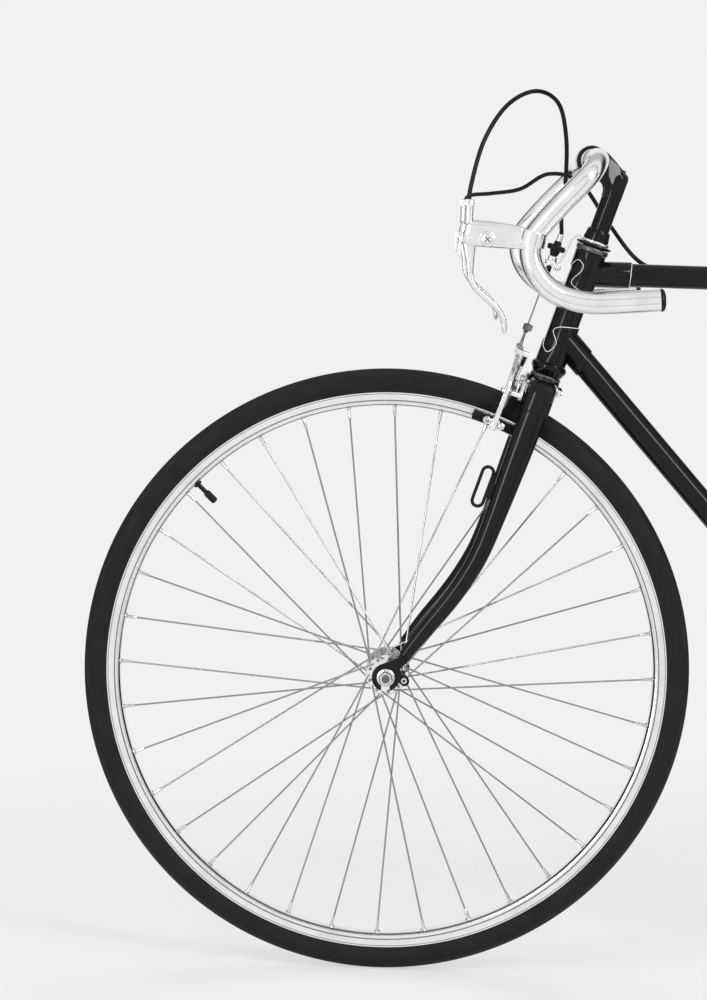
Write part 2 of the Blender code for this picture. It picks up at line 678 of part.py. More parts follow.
def head_lug(bottom, top, joint, edge, tube_end, tube_radius, socket, name):
    """A sleeve on the head tube, its edge cut in a curl, with a socket for the top tube or the down tube."""
    start = on_steering_axis(joint)
    along = (tube_end - start).normalized()
    sleeve = rod(on_steering_axis(bottom), on_steering_axis(top), HEAD_TUBE_RADIUS + LUG_WALL,
                 sides=HEAD_SIDES)
    curl = [(across, joint + up) for across, up in edge]
    sleeve = cut(sleeve, plate(curl, 4 * HEAD_TUBE_RADIUS, steering_view()))
    branch = rod(start, start + along * socket, tube_radius + LUG_WALL)
    lug = union(sleeve, branch)
    lug = cut(lug, head_cutter(GAP), long_rod(start + along * 0.3, tube_end, tube_radius + GAP))
    return finish(lug, name, BLACK_PAINT, "frame_origin")


def head_lugs():
    out = -2 * HEAD_TUBE_RADIUS
    under = -2 * UPPER_LUG_REACH
    head_lug(UPPER_LUG_BOTTOM, HEAD_TUBE_TOP, TOP_TUBE_JOINT,
             [(out, under), *UPPER_LUG_CURL, (UPPER_LUG_CURL[-1][0], under)],
             on_seat_tube(seat_cluster_height()), TOP_TUBE_RADIUS, TOP_SOCKET, "upper_head_lug")
    over = 2 * LOWER_LUG_REACH
    head_lug(HEAD_TUBE_BOTTOM, LOWER_LUG_TOP, DOWN_TUBE_JOINT, [(out, over), *LOWER_LUG_CURL, (-out, over)],
             BRACKET, DOWN_TUBE_RADIUS, DOWN_SOCKET, "lower_head_lug")


def seat_lug():
    """The sleeve at the top of the seat tube, with its socket and its split ears."""
    top = seat_tube_top()
    joint = on_seat_tube(seat_cluster_height())
    forward = (on_steering_axis(TOP_TUBE_JOINT) - joint).normalized()
    sleeve = rod(on_seat_tube(seat_cluster_height() - 0.024), on_seat_tube(top), SEAT_TUBE_RADIUS + LUG_WALL,
                 sides=TUBE_SIDES)
    socket = rod(joint, joint + forward * 0.046, TOP_TUBE_RADIUS + LUG_WALL)
    centre = on_seat_tube(*BINDER_PLACE)
    ears = block(centre - SEAT_BACK * 0.0020, SEAT_BACK, RIGHT, (0.014, 2 * BINDER_HALF_WIDTH, 0.013))
    slit = block(centre, SEAT_BACK, RIGHT, (0.030, 0.0016, 0.030))
    bolt = rod(centre - RIGHT * 0.02, centre + RIGHT * 0.02, 0.0030 + GAP, sides=8)
    tube = long_rod(joint + forward * 0.3, on_steering_axis(TOP_TUBE_JOINT), TOP_TUBE_RADIUS + GAP)
    lug = cut(union(sleeve, socket, ears), seat_cutter(GAP), tube, slit, bolt)
    return finish(lug, "seat_lug", BLACK_PAINT, "frame_origin")


BINDER_PLACE = (seat_cluster_height() + 0.018, SEAT_TUBE_RADIUS + 0.0075)


def chain_stay_line(side):
    """Start and end of a chain stay's centre line."""
    back = (REAR_AXLE - BRACKET).normalized()
    start = BRACKET + RIGHT * side * CHAIN_STAY_SHELL_OFFSET
    end = REAR_AXLE - back * DROPOUT_FRONT + RIGHT * side * DROPOUT_MIDDLE
    return start, end


def chain_stays():
    for side, name in ((-1, "left_chain_stay"), (1, "right_chain_stay")):
        start, end = chain_stay_line(side)
        along = end - start
        stations = [(start + along * share, depth, thickness) for share, depth, thickness in
                    ((0.0, CHAIN_STAY_RADIUS, CHAIN_STAY_RADIUS),
                     (0.13, CHAIN_STAY_RADIUS, CHAIN_STAY_RADIUS),
                     (0.24, 0.0110, 0.0075), (0.36, 0.0105, 0.0078),
                     (0.93, STAY_END_RADIUS + 0.001, STAY_END_RADIUS),
                     (1.0, STAY_END_RADIUS - 0.001, 0.0042))]
        stay = cut(oval_bar(stations, RIGHT, 12), shell_cutter(GAP))
        finish(union(stay, dropout(side)), name, BLACK_PAINT, "frame_origin")


def dropout(side):
    """A plate with a forward-facing slot for the rear axle and an eye for a mudguard stay."""
    x, z = REAR_AXLE.x, REAR_AXLE.z
    slot = REAR_AXLE_RADIUS + RUNNING_GAP
    outline = [(x - DROPOUT_FRONT - 0.004, z - 0.0105), (x - 0.014, z - 0.0175), (x + 0.004, z - 0.0175),
               (x + 0.017, z - 0.010), (x + 0.017, z + 0.008), (x + 0.010, z + 0.0165),
               (x - 0.006, z + 0.0195),
               (x - 0.021, z + 0.0150), (x - 0.022, z + slot), (x, z + slot)]
    outline += circle((x, z), slot, 5, math.pi / 3, -math.pi / 3)
    outline += [(x, z - slot), (x - 0.022, z - slot), (x - DROPOUT_FRONT - 0.004, z - 0.001)]
    eye = circle((x + 0.0125, z + 0.0035), 0.0025, 8)
    return plate(outline, TIP_PLATE, side_view(side * DROPOUT_MIDDLE), [eye])


def seat_stay_line(side):
    """Start at the seat lug and end above the dropout."""
    start = on_seat_tube(seat_cluster_height() + 0.004, 0.008, side * (SEAT_TUBE_RADIUS + LUG_WALL + 0.0068))
    end = REAR_AXLE + Vector((-0.0045, side * DROPOUT_MIDDLE, SEAT_STAY_END))
    return start, end


def seat_stays():
    for side, name in ((-1, "left_seat_stay"), (1, "right_seat_stay")):
        start, end = seat_stay_line(side)
        along = end - start
        stations = [(start + along * share, radius, radius) for share, radius in
                    ((-0.03, 0.0050), (0.0, 0.0068), (0.6, 0.0070), (0.96, 0.0058), (1.0, 0.0042))]
        stay = oval_bar(stations, RIGHT, 8)
        tab = block(end + Vector((0, 0, 0.0052)), (1, 0, 0), RIGHT, (0.012, TIP_PLATE, 0.009))
        shelf = block(end + Vector((0, 0, -0.01 + GAP)), (1, 0, 0), RIGHT, (0.05, 0.03, 0.02))
        finish(cut(union(stay, tab), shelf), name, BLACK_PAINT, "frame_origin")


def bridge_frame():
    """Centre of the brake bridge, the way up the stays and the way the rear brake faces."""
    left_start, left_end = seat_stay_line(-1)
    right_start, right_end = seat_stay_line(1)
    top = (left_start + right_start) / 2
    bottom = (left_end + right_end) / 2
    up = (top - bottom).normalized()
    share = (BRIDGE_DISTANCE - SEAT_STAY_END) / (top - bottom).length
    facing = RIGHT.cross(up) * -1
    if facing.x < 0:
        facing = -facing
    return bottom + (top - bottom) * share, up, facing, share


def brake_bridge():
    centre, up, facing, share = bridge_frame()
    left_start, left_end = seat_stay_line(-1)
    half = abs((left_end + (left_start - left_end) * share).y) - 0.0072
    bar = rod(centre - RIGHT * half, centre + RIGHT * half, 0.0060, sides=8)
    boss = rod(centre - facing * 0.0085, centre + facing * 0.0085, 0.0085, sides=10)
    hole = rod(centre - facing * 0.03, centre + facing * 0.03, BRAKE_BOLT_RADIUS + GAP, sides=8)
    return finish(cut(union(bar, boss), hole), "brake_bridge", BLACK_PAINT, "frame_origin")


def bracket_shell():
    """The bottom bracket shell with its bearing cups and the sockets of the four tubes."""
    half = BRACKET_SHELL_WIDTH / 2
    bore = round_bore(SPINDLE_RADIUS + RUNNING_GAP, 8)
    side = [(BRACKET_SHELL_RADIUS, half), (0.0165, half + 0.0040), (0, half + 0.0040)]
    shell = turned([(radius, -offset) for radius, offset in reversed(side)] + side, BRACKET, RIGHT,
                   HEAD_SIDES, closed=False)
    lines = [(BRACKET, on_steering_axis(DOWN_TUBE_JOINT), DOWN_TUBE_RADIUS, 0.046),
             (BRACKET, on_seat_tube(seat_tube_top()), SEAT_TUBE_RADIUS, 0.043)]
    lines += [(*chain_stay_line(side), CHAIN_STAY_RADIUS + GAP, 0.038) for side in (-1, 1)]
    sockets = []
    bores = []
    for start, end, radius, length in lines:
        along = (end - start).normalized()
        sockets.append(rod(start, start + along * length, radius + LUG_WALL))
        bores.append(rod(start + along * 0.012, start + along * 0.2, radius + GAP))
    return finish(cut(union(shell, *sockets), *bores, rod(BRACKET - RIGHT * 0.1, BRACKET + RIGHT * 0.1, bore,
                                                          sides=8)),
                  "bottom_bracket_shell", BLACK_PAINT, "frame_origin")


# Headset, fork and stem

def headset():
    bore = round_bore(STEERER_RADIUS + GAP, HEAD_SIDES)
    press = HEAD_TUBE_RADIUS - HEAD_TUBE_WALL - GAP
    top, bottom = HEAD_TUBE_TOP, HEAD_TUBE_BOTTOM
    upper = [(bore, top + 0.0062), (0.0185, top + 0.0062), (0.0185, top + 0.0020), (0.0172, top + GAP),
             (press, top + GAP),
             (press, top - 0.009), (bore, top - 0.009)]
    finish(turned(upper, STEER_FOOT, STEER_UP), "upper_head_cup", DARK_STEEL, "frame_origin", 25)
    lower = [(bore, bottom + 0.009), (press, bottom + 0.009), (press, bottom - GAP), (0.0195, bottom - GAP),
             (0.0200, bottom - 0.0070), (0.0165, bottom - 0.0140), (bore, bottom - 0.0140)]
    finish(turned(lower, STEER_FOOT, STEER_UP), "lower_head_cup", BLACK_PAINT, "frame_origin", 25)
    base = top + 0.0062 + RUNNING_GAP
    race = [(bore, base + 0.0040), (0.0176, base + 0.0040), (0.0205, base + 0.0032), (0.0205, base + 0.0022),
            (0.0178, base), (bore, base)]
    finish(turned(race, STEER_FOOT, STEER_UP), "headset_race", BLACK_PAINT, "steering_axis", 25)
    nut_base = HANGER_BASE + HANGER_THICKNESS + GAP
    lip = QUILL_RADIUS + GAP
    nut = [(lip, nut_base + 0.0128), (0.0123, nut_base + 0.0128), (0.0146, nut_base + 0.0034),
           (0.0146, nut_base),
           (bore, nut_base), (bore, STEERER_TOP + GAP), (lip, STEERER_TOP + GAP)]
    finish(turned(nut, STEER_FOOT, STEER_UP), "headset_locknut", BLACK_PAINT, "steering_axis", 25)


def housing_stop(low, up, knob, knob_radius):
    """A bored barrel that the housing's end sits on, with its adjusting disc."""
    height = HOUSING_STOP_LENGTH
    bore = BRAKE_WIRE_RADIUS + 0.0006
    barrel = HOUSING_RADIUS + 0.0018
    profile = [(bore, height), (barrel, height), (barrel, knob + KNOB_HEIGHT),
               (knob_radius, knob + KNOB_HEIGHT),
               (knob_radius, knob), (barrel, knob), (barrel, 0), (bore, 0)]
    return turned(profile, low, up, 10)


def cable_hanger():
    """A washer under the locknut whose strip reaches forward and down to the housing stop."""
    washer = pipe(on_steering_axis(HANGER_BASE), on_steering_axis(HANGER_BASE + HANGER_THICKNESS), 0.0166,
                  STEERER_RADIUS + GAP, HEAD_SIDES)
    middle = HANGER_BASE + HANGER_THICKNESS / 2
    low = HOUSING_STOP_BOTTOM
    strip = [(middle, -0.0145), (middle + 0.0016, -0.0205), (middle - 0.0070, -0.0262),
             (low + 0.0240, -0.0272),
             (low + 0.0130, -0.0295), (low + 0.0065, -0.0356)]
    bars = oval_bar([(on_steering_axis(along, across), 0.0014, 0.0082) for along, across in strip], RIGHT, 4,
                    0)
    stop = housing_stop(on_steering_axis(HOUSING_STOP_BOTTOM, WIRE_ACROSS), STEER_UP, 0.0212, KNOB_RADIUS)
    return finish(union(washer, bars, stop), "cable_hanger", POLISHED_ALLOY, "steering_axis", 30)


def blade_line():
    """Points down a fork blade: height, distance behind the axis, half depth, half thickness."""
    top = BLADE_TOP_HALF_DEPTH
    thick = BLADE_TOP_HALF_THICKNESS
    head = BRAKE_BOLT_HEIGHT
    return [(head + 0.002, 0.0, top, thick), (head - 0.057, 0.0, top, thick),
            (head - 0.107, -0.0005, top - 0.0012, thick - 0.0004), (head - 0.157, -0.0010, 0.0117, 0.0084),
            (0.148, -0.0030, 0.0108, 0.0082), (0.113, -0.0095, 0.0103, 0.0080),
            (0.082, -0.0185, 0.0099, 0.0077),
            (0.045, -0.0320, 0.0090, 0.0072), (0.012, -0.0432, 0.0070, 0.0062)]


def blade_side(along):
    """Half the distance between the blades at a height."""
    low = 0.012
    share = (along - low) / (BRAKE_BOLT_HEIGHT - low)
    tip = FRONT_TIP_SPACING / 2 + TIP_PLATE / 2
    return tip + (BLADE_TOP_HALF_SPACING - tip) * share


def blade_stations(side, clearance=0.0, limit=0.0):
    line = [station for station in blade_line() if station[0] >= limit]
    line[0] = (line[0][0] + clearance, *line[0][1:])
    return [(on_steering_axis(along, across, side * blade_side(along)), depth + clearance,
             thickness + clearance)
            for along, across, depth, thickness in line]


def fork_crown():
    """The crown with its blade sockets, and the steerer brazed into it."""
    stations = [(-0.0405, 0.0075, 0.0095, 0.0140), (-0.0290, 0.0042, 0.0125, 0.0160),
                (0.0, 0.0030, 0.0134, 0.0162),
                (0.0290, 0.0042, 0.0125, 0.0160), (0.0405, 0.0075, 0.0095, 0.0140)]
    bridge = oval_bar([(on_steering_axis(BRAKE_BOLT_HEIGHT - drop, 0, side), half_height, half_depth)
                       for side, drop, half_height, half_depth in stations], STEER_BACK, 8, 0.5)
    sockets = []
    cutters = []
    for side in (-1, 1):
        ends = [(on_steering_axis(along, 0, side * blade_side(along)), BLADE_TOP_HALF_DEPTH + 0.0016,
                 BLADE_TOP_HALF_THICKNESS + 0.0016) for along in (BRAKE_BOLT_HEIGHT - 0.002,
                                                                  BRAKE_BOLT_HEIGHT - 0.029)]
        sockets.append(oval_bar(ends, RIGHT, BLADE_SIDES))
        cutters.append(oval_bar(blade_stations(side, GAP, BRAKE_BOLT_HEIGHT - 0.11), RIGHT, BLADE_SIDES))
    steerer = turned([(STEERER_BORE, STEERER_TOP), (STEERER_RADIUS, STEERER_TOP),
                      (STEERER_RADIUS, CROWN_TOP + 0.0030),
                      (0.0160, CROWN_TOP + 0.0030), (0.0165, CROWN_TOP - 0.003),
                      (STEERER_BORE, CROWN_TOP - 0.003)],
                     STEER_FOOT, STEER_UP)
    bolt = rod(on_steering_axis(BRAKE_BOLT_HEIGHT, -0.05), on_steering_axis(BRAKE_BOLT_HEIGHT, 0.05),
               BRAKE_BOLT_RADIUS + GAP, sides=8)
    well = rod(on_steering_axis(CROWN_TOP - 0.006), on_steering_axis(STEERER_TOP + 0.01), STEERER_BORE,
               sides=HEAD_SIDES)
    crown = union(bridge, *sockets, steerer)
    return finish(cut(crown, *cutters, bolt, well), "fork_crown", BLACK_PAINT, "steering_axis")


def fork_tip(side):
    """The slotted end plate, with its mudguard eye, that the front axle sits in."""
    middle = FRONT_TIP_SPACING / 2 + TIP_PLATE / 2
    x, z = FRONT_AXLE.x, FRONT_AXLE.z
    slot = FRONT_AXLE_RADIUS + RUNNING_GAP
    ring = TIP_RING_RADIUS
    neck = on_steering_axis(0.012, -0.0432)
    outline = circle((x, z), ring, 4, math.radians(-70), math.radians(-20))
    outline += [(x + 0.0225, z - 0.0105), (x + 0.0270, z - 0.0040), (x + 0.0235, z + 0.0035),
                (x + 0.0150, z + 0.0056)]
    outline += [(neck.x + 0.0075, neck.z + 0.002), (neck.x + 0.002, neck.z + 0.006),
                (neck.x - 0.0070, neck.z + 0.0005)]
    outline += circle((x, z), ring, 6, math.radians(105), math.radians(245))
    outline += [(x - slot, z - ring + 0.0005), (x - slot, z)]
    outline += circle((x, z), slot, 4, math.radians(140), math.radians(40))
    outline += [(x + slot, z), (x + slot, z - ring + 0.0005)]
    eye = circle((x + 0.0210, z - 0.0035), 0.0024, 6)
    return plate(outline, TIP_PLATE, side_view(side * middle), [eye])


def lamp_bracket():
    """The looped bracket brazed to the front of the left blade."""
    height = 0.221
    side = -blade_side(height)
    centre = on_steering_axis(height, -0.0255, side)
    placement = Matrix((Vector((*STEER_BACK, 0)), Vector((*STEER_UP, 0)), Vector((*(-RIGHT), 0)),
                        Vector((*centre, 1)))).transposed()
    long, wide, band = 0.0250, 0.0082, 0.0040

    def loop(length, width, sides):
        top = circle((0, length - width), width, sides, 0, math.pi)
        return top + [(-x, -y) for x, y in top]

    ring = plate(loop(long, wide, 7), 0.0035, placement, [loop(long - band, wide - band, 5)])
    web = block(on_steering_axis(height - 0.002, -0.0148, side), STEER_BACK, STEER_UP,
                (0.0070, 0.0180, 0.0032))
    return ring, web


def fork_blades():
    for side, name in ((-1, "left_fork_blade"), (1, "right_fork_blade")):
        blade = union(oval_bar(blade_stations(side), RIGHT, BLADE_SIDES), fork_tip(side))
        if side < 0:
            blade = union(blade, *lamp_bracket())
        finish(blade, name, BLACK_PAINT, "steering_axis")


BAR_CENTRE = on_steering_axis(CLAMP_HEIGHT, -CLAMP_REACH)


def stem():
    """A quill stem with a short forward extension and a split clamp for the bar."""
    quill = rod(on_steering_axis(QUILL_BOTTOM), on_steering_axis(CLAMP_HEIGHT - 0.012), QUILL_RADIUS)
    ring = CLAMP_RING_RADIUS
    outline = [(QUILL_RADIUS, CLAMP_HEIGHT - 0.030), (QUILL_RADIUS, CLAMP_HEIGHT - 0.0030),
               (-0.0240, CLAMP_HEIGHT + 0.0160), (-CLAMP_REACH, CLAMP_HEIGHT + 0.0150),
               (-CLAMP_REACH, CLAMP_HEIGHT - 0.0150),
               (-0.0205, CLAMP_HEIGHT - 0.0170), (-0.0130, CLAMP_HEIGHT - 0.0240),
               (-QUILL_RADIUS, CLAMP_HEIGHT - 0.034)]
    body = plate(outline, 0.0190, steering_view())
    clamp = rod(BAR_CENTRE - RIGHT * CLAMP_WIDTH / 2, BAR_CENTRE + RIGHT * CLAMP_WIDTH / 2, ring,
                sides=HEAD_SIDES)
    ear = block(on_steering_axis(CLAMP_HEIGHT - 0.0180, -CLAMP_REACH - 0.002), STEER_BACK, STEER_UP,
                (0.0100, 0.0130, 0.0180))
    slit = block(on_steering_axis(CLAMP_HEIGHT - 0.0200, -CLAMP_REACH - 0.002), STEER_BACK, STEER_UP,
                 (0.0020, 0.0240, 0.06))
    bolt = rod(on_steering_axis(CLAMP_HEIGHT - 0.0205, -CLAMP_REACH - 0.009),
               on_steering_axis(CLAMP_HEIGHT - 0.0205, -CLAMP_REACH + 0.006), 0.0030, sides=8)
    hole = rod(BAR_CENTRE - RIGHT * 0.05, BAR_CENTRE + RIGHT * 0.05, BAR_SLEEVE_RADIUS + GAP,
               sides=HEAD_SIDES)
    piece = union(cut(union(clamp, body, ear), slit), quill, bolt)
    return finish(cut(piece, hole), "stem", BLACK_PAINT, "steering_axis")


def bar_path():
    """The bar's centre line from its left end to its right end."""
    right = [BAR_CENTRE + Vector((x, y, z)) for x, z, y in BAR_BENDS]
    left = [BAR_CENTRE + Vector((x, -y, z)) for x, z, y in reversed(BAR_BENDS)]
    return left + right


def handlebar():
    bar = wire(bar_path(), BAR_RADIUS, 3)
    sleeve = rod(BAR_CENTRE - RIGHT * 0.032, BAR_CENTRE + RIGHT * 0.032, BAR_SLEEVE_RADIUS, sides=HEAD_SIDES)
    return finish(union(bar, sleeve), "handlebar", POLISHED_ALLOY, "steering_axis", 40)


# Brakes


def lever_place(side, x, z, y=0.0):
    """A point of a brake lever, from the centre of the bar clamp."""
    return BAR_CENTRE + Vector((x, side * (BAR_HALF_WIDTH + y), z))


def lever_body(side, name):
    """The lever bracket with its bar band, pivot pin and cable adjuster."""
    stations = [((-0.0800, -0.0870), 0.0125, 0.0100), ((-0.1000, -0.0850), 0.0135, 0.0105),
                ((-0.1360, -0.0840), 0.0135, 0.0105), ((-0.1425, -0.0830), 0.0095, 0.0090)]
    body = oval_bar([(lever_place(side, *place), depth, thickness) for place, depth, thickness in stations],
                    RIGHT, 8, 0.5)
    band = rod(lever_place(side, -0.0682, -0.0800), lever_place(side, -0.0712, -0.0950), BAR_RADIUS + 0.0032)
    slot = block(lever_place(side, LEVER_PIVOT.x - 0.0035, LEVER_PIVOT.z - 0.006), (1, 0, 0), RIGHT,
                 (0.033, 2 * LEVER_SLOT, 0.030))
    body = cut(union(body, band), slot)
    pin = rod(lever_place(side, LEVER_PIVOT.x, LEVER_PIVOT.z, -0.0118),
              lever_place(side, LEVER_PIVOT.x, LEVER_PIVOT.z, 0.0118),
              0.0026, sides=8)
    cap = rod(lever_place(side, -0.1174, -0.0896, -0.0125), lever_place(side, -0.1174, -0.0896, 0.0125),
              0.0080, sides=8)
    adjuster = rod(lever_place(side, -0.1375, -0.0745), lever_place(side, -0.1375, -0.0545), 0.0045, sides=6)
    bar = wire([point for point in bar_path() if point.y * side > 0.12],
               BAR_RADIUS / math.cos(math.pi / 10) + GAP, 3)
    housing = rod(lever_place(side, -0.1375, -0.0500), lever_place(side, -0.1375, -0.0600),
                  HOUSING_RADIUS + HOUSING_GAP, sides=8)
    body = cut(union(body, pin, cap, adjuster), bar, housing)
    return finish(body, name, POLISHED_ALLOY, "steering_axis", 40)


def lever_blade(side, name, axis):
    """The lever itself, a wide bent blade hung on the pivot pin."""
    stations = [(lever_place(side, x, z), depth, min(LEVER_SLOT - RUNNING_GAP, 0.0068)) for x, z,
                depth in BLADE_PATH]
    blade = oval_bar(stations, RIGHT, 6, 0.5)
    knuckle = rod(lever_place(side, LEVER_PIVOT.x, LEVER_PIVOT.z, -LEVER_SLOT + RUNNING_GAP),
                  lever_place(side, LEVER_PIVOT.x, LEVER_PIVOT.z, LEVER_SLOT - RUNNING_GAP), 0.0074, sides=10)
    pin = rod(lever_place(side, LEVER_PIVOT.x, LEVER_PIVOT.z, -0.02),
              lever_place(side, LEVER_PIVOT.x, LEVER_PIVOT.z, 0.02),
              0.0026 + GAP, sides=8)
    return finish(cut(union(blade, knuckle), pin), name, POLISHED_ALLOY, axis, 40)


class BrakeSeat:
    """Where a centre-pull brake sits: its bolt, the way up, the way it faces and its axle."""

    def __init__(self, bolt, up, facing, axle):
        self.bolt = bolt
        self.up = up
        self.facing = facing
        self.axle = axle

    def at(self, side, height, forward):
        return self.bolt + RIGHT * side + self.up * height + self.facing * forward

    def pad_height(self, forward):
        """Height at which a pad meets the middle of the rim's brake track."""
        start = self.bolt + self.facing * forward - self.axle
        along = start.dot(self.up)
        root = math.sqrt(along ** 2 - (start.length_squared - PAD_RADIUS ** 2))
        return root - along


def front_brake_seat():
    return BrakeSeat(on_steering_axis(BRAKE_BOLT_HEIGHT), STEER_UP, -STEER_BACK, FRONT_AXLE)


def rear_brake_seat():
    centre, up, facing, _ = bridge_frame()
    return BrakeSeat(centre, up, facing, REAR_AXLE)


def brake_plate(seat, half_depth, name, axis):
    """The bridge plate on the centre bolt, with a pivot stud at each end."""
    middle = half_depth + 0.0045
    profile = [(0, -half_depth - 0.0090), (BRAKE_BOLT_RADIUS, -half_depth - 0.0090),
               (BRAKE_BOLT_RADIUS, half_depth + GAP),
               (0.0075, half_depth + GAP), (0.0075, middle + 0.0040), (0, middle + 0.0040)]
    bolt = turned(profile, seat.bolt, seat.facing, 8, closed=False)
    nut = rod(seat.at(0, 0, -half_depth - GAP), seat.at(0, 0, -half_depth - 0.0058), 0.0062, sides=6)
    arch = [(-ARM_PIVOT_HALF_SPACING, -ARM_PIVOT_DROP), (-0.0240, -0.0030), (-0.0100, 0.0030),
            (0.0100, 0.0030),
            (0.0240, -0.0030), (ARM_PIVOT_HALF_SPACING, -ARM_PIVOT_DROP)]
    bridge = oval_bar([(seat.at(side, height, middle), 0.0055, 0.0020) for side, height in arch], seat.facing,
                      4, 0)
    studs = [rod(seat.at(side * ARM_PIVOT_HALF_SPACING, -ARM_PIVOT_DROP, middle - 0.001),
                 seat.at(side * ARM_PIVOT_HALF_SPACING, -ARM_PIVOT_DROP, middle + length), 0.0032, sides=8)
             for side, length in ((-1, STUD_LENGTH + ARM_SPACING), (1, STUD_LENGTH))]
    return finish(union(bolt, nut, bridge, *studs), name, POLISHED_ALLOY, axis)


def brake_arm(seat, side, forward, straddle_forward, name, axis):
    """A cranked arm: its shoe below the pivot, and its cable end across the centre above it."""
    pad_forward = forward + 0.0010
    pad_height = seat.pad_height(pad_forward)
    inner = RIM_HALF_WIDTH + PAD_GAP
    shoe_side = side * (inner + PAD_THICKNESS + 0.0035)
    pivot_side = side * ARM_PIVOT_HALF_SPACING
    route = [(shoe_side, pad_height - 0.007), (shoe_side, pad_height + 0.004), (side * 0.0320, -0.033),
             (pivot_side, -ARM_PIVOT_DROP), (side * 0.0240, -0.0010), (side * 0.0060, 0.0100),
             (-side * 0.0120, 0.0185), (-side * ARM_TIP_SIDE, ARM_TIP_HEIGHT)]
    widths = [0.0050, 0.0058, 0.0062, 0.0072, 0.0062, 0.0055, 0.0048, 0.0036]
    arm = oval_bar([(seat.at(across, height, forward), width, ARM_THICKNESS / 2)
                    for (across, height), width in zip(route, widths)], seat.facing, 4, 0)
    anchor = rod(seat.at(-side * ARM_TIP_SIDE, ARM_TIP_HEIGHT, forward - ARM_THICKNESS / 2),
                 seat.at(-side * ARM_TIP_SIDE, ARM_TIP_HEIGHT, straddle_forward + 0.0025), ANCHOR_RADIUS,
                 sides=6)
    stud = rod(seat.at(pivot_side, -ARM_PIVOT_DROP, 0), seat.at(pivot_side, -ARM_PIVOT_DROP, 0.08),
               0.0032 + GAP, sides=8)
    pad_centre = seat.at(side * (inner + PAD_THICKNESS / 2), pad_height, pad_forward)
    radial = pad_centre - seat.axle
    radial.y = 0
    shoe = block(pad_centre, radial.cross(RIGHT), radial, (PAD_LENGTH, PAD_HEIGHT, PAD_THICKNESS))
    bolt = rod(pad_centre + RIGHT * side * 0.003, pad_centre + RIGHT * side * 0.0150, 0.0048, sides=6)
    return finish(union(cut(arm, stud), anchor, shoe, bolt), name, POLISHED_ALLOY, axis)


def straddle(seat, forward, wire_top, name, axis):
    """The yoke, the bare wire above it and the straddle wire between the two arms."""
    yoke = rod(seat.at(0, YOKE_HEIGHT, forward - 0.0035), seat.at(0, YOKE_HEIGHT, forward + 0.0035), 0.0050,
               sides=8)
    bare = rod(seat.at(0, YOKE_HEIGHT, forward), seat.at(0, wire_top, forward), BRAKE_WIRE_RADIUS, sides=6)
    end_height = ARM_TIP_HEIGHT + ANCHOR_RADIUS + BRAKE_WIRE_RADIUS + GAP
    ends = [(-ARM_TIP_SIDE, end_height), (0, YOKE_HEIGHT), (ARM_TIP_SIDE, end_height)]
    legs = wire([seat.at(side, height, forward) for side, height in ends], BRAKE_WIRE_RADIUS, 1)
    return finish(union(yoke, bare, legs), name, BRIGHT_STEEL, axis)


def brakes():
    for seat, half_depth, forward, end, body, wire_top in (
            (front_brake_seat(), CROWN_HALF_DEPTH, FRONT_ARM_FORWARD, "front", "steering_axis",
             HOUSING_STOP_BOTTOM + 0.010 - BRAKE_BOLT_HEIGHT),
            (rear_brake_seat(), BRIDGE_HALF_DEPTH, REAR_ARM_FORWARD, "rear", "frame_origin",
             REAR_STOP_LOW + 0.010)):
        wire_forward = forward + STRADDLE_FORWARD
        brake_plate(seat, half_depth, end + "_brake_plate", body)
        brake_arm(seat, -1, forward + ARM_SPACING, wire_forward, end + "_left_arm", end + "_left_arm_pivot")
        brake_arm(seat, 1, forward, wire_forward, end + "_right_arm", end + "_right_arm_pivot")
        straddle(seat, wire_forward, wire_top, end + "_straddle", end + "_straddle_slide")


def binder_bolt():
    """The bolt through the seat lug's ears, which also holds the hanger for the rear brake's housing."""
    seat = rear_brake_seat()
    low = seat.at(0, REAR_STOP_LOW, REAR_ARM_FORWARD + STRADDLE_FORWARD)
    centre = on_seat_tube(*BINDER_PLACE)
    bolt = rod(centre - RIGHT * 0.0125, centre + RIGHT * 0.0125, 0.0030, sides=8)
    head = rod(centre + RIGHT * (BINDER_HALF_WIDTH + GAP), centre + RIGHT * 0.0135, 0.0052, sides=8)
    nut = rod(centre - RIGHT * (BINDER_HALF_WIDTH + 0.0018), centre - RIGHT * 0.0135, 0.0055, sides=6)
    shelf = low + seat.up * 0.0190
    outward = RIGHT * (BINDER_HALF_WIDTH + 0.0014)
    strip = [centre - outward, centre.lerp(shelf, 0.45) - outward, shelf - RIGHT * 0.0015]
    straps = [oval_bar([(place, half, 0.0009) for place, half in zip(strip, (0.0055, 0.0050, 0.0035))], RIGHT,
                       4, 0)]
    stop = housing_stop(low, seat.up, 0.0030, 0.0070)
    return finish(union(bolt, head, nut, stop, *straps), "seat_binder_bolt", BRIGHT_STEEL, "frame_origin")


def front_brake_cable():
    """The black housing from the left lever over to the stop on the headset."""
    stop = on_steering_axis(HOUSING_STOP_TOP + HOUSING_GAP, WIRE_ACROSS)
    above = on_steering_axis(HOUSING_STOP_TOP + 0.012, WIRE_ACROSS)
    route = [BAR_CENTRE + Vector((x, -y, z)) for x, z, y in FRONT_HOUSING] + [above, stop]
    return finish(wire(smooth_route(route, 2), HOUSING_RADIUS, 1), "front_brake_cable", HOUSING_PLASTIC,
                  "steering_axis", 60)


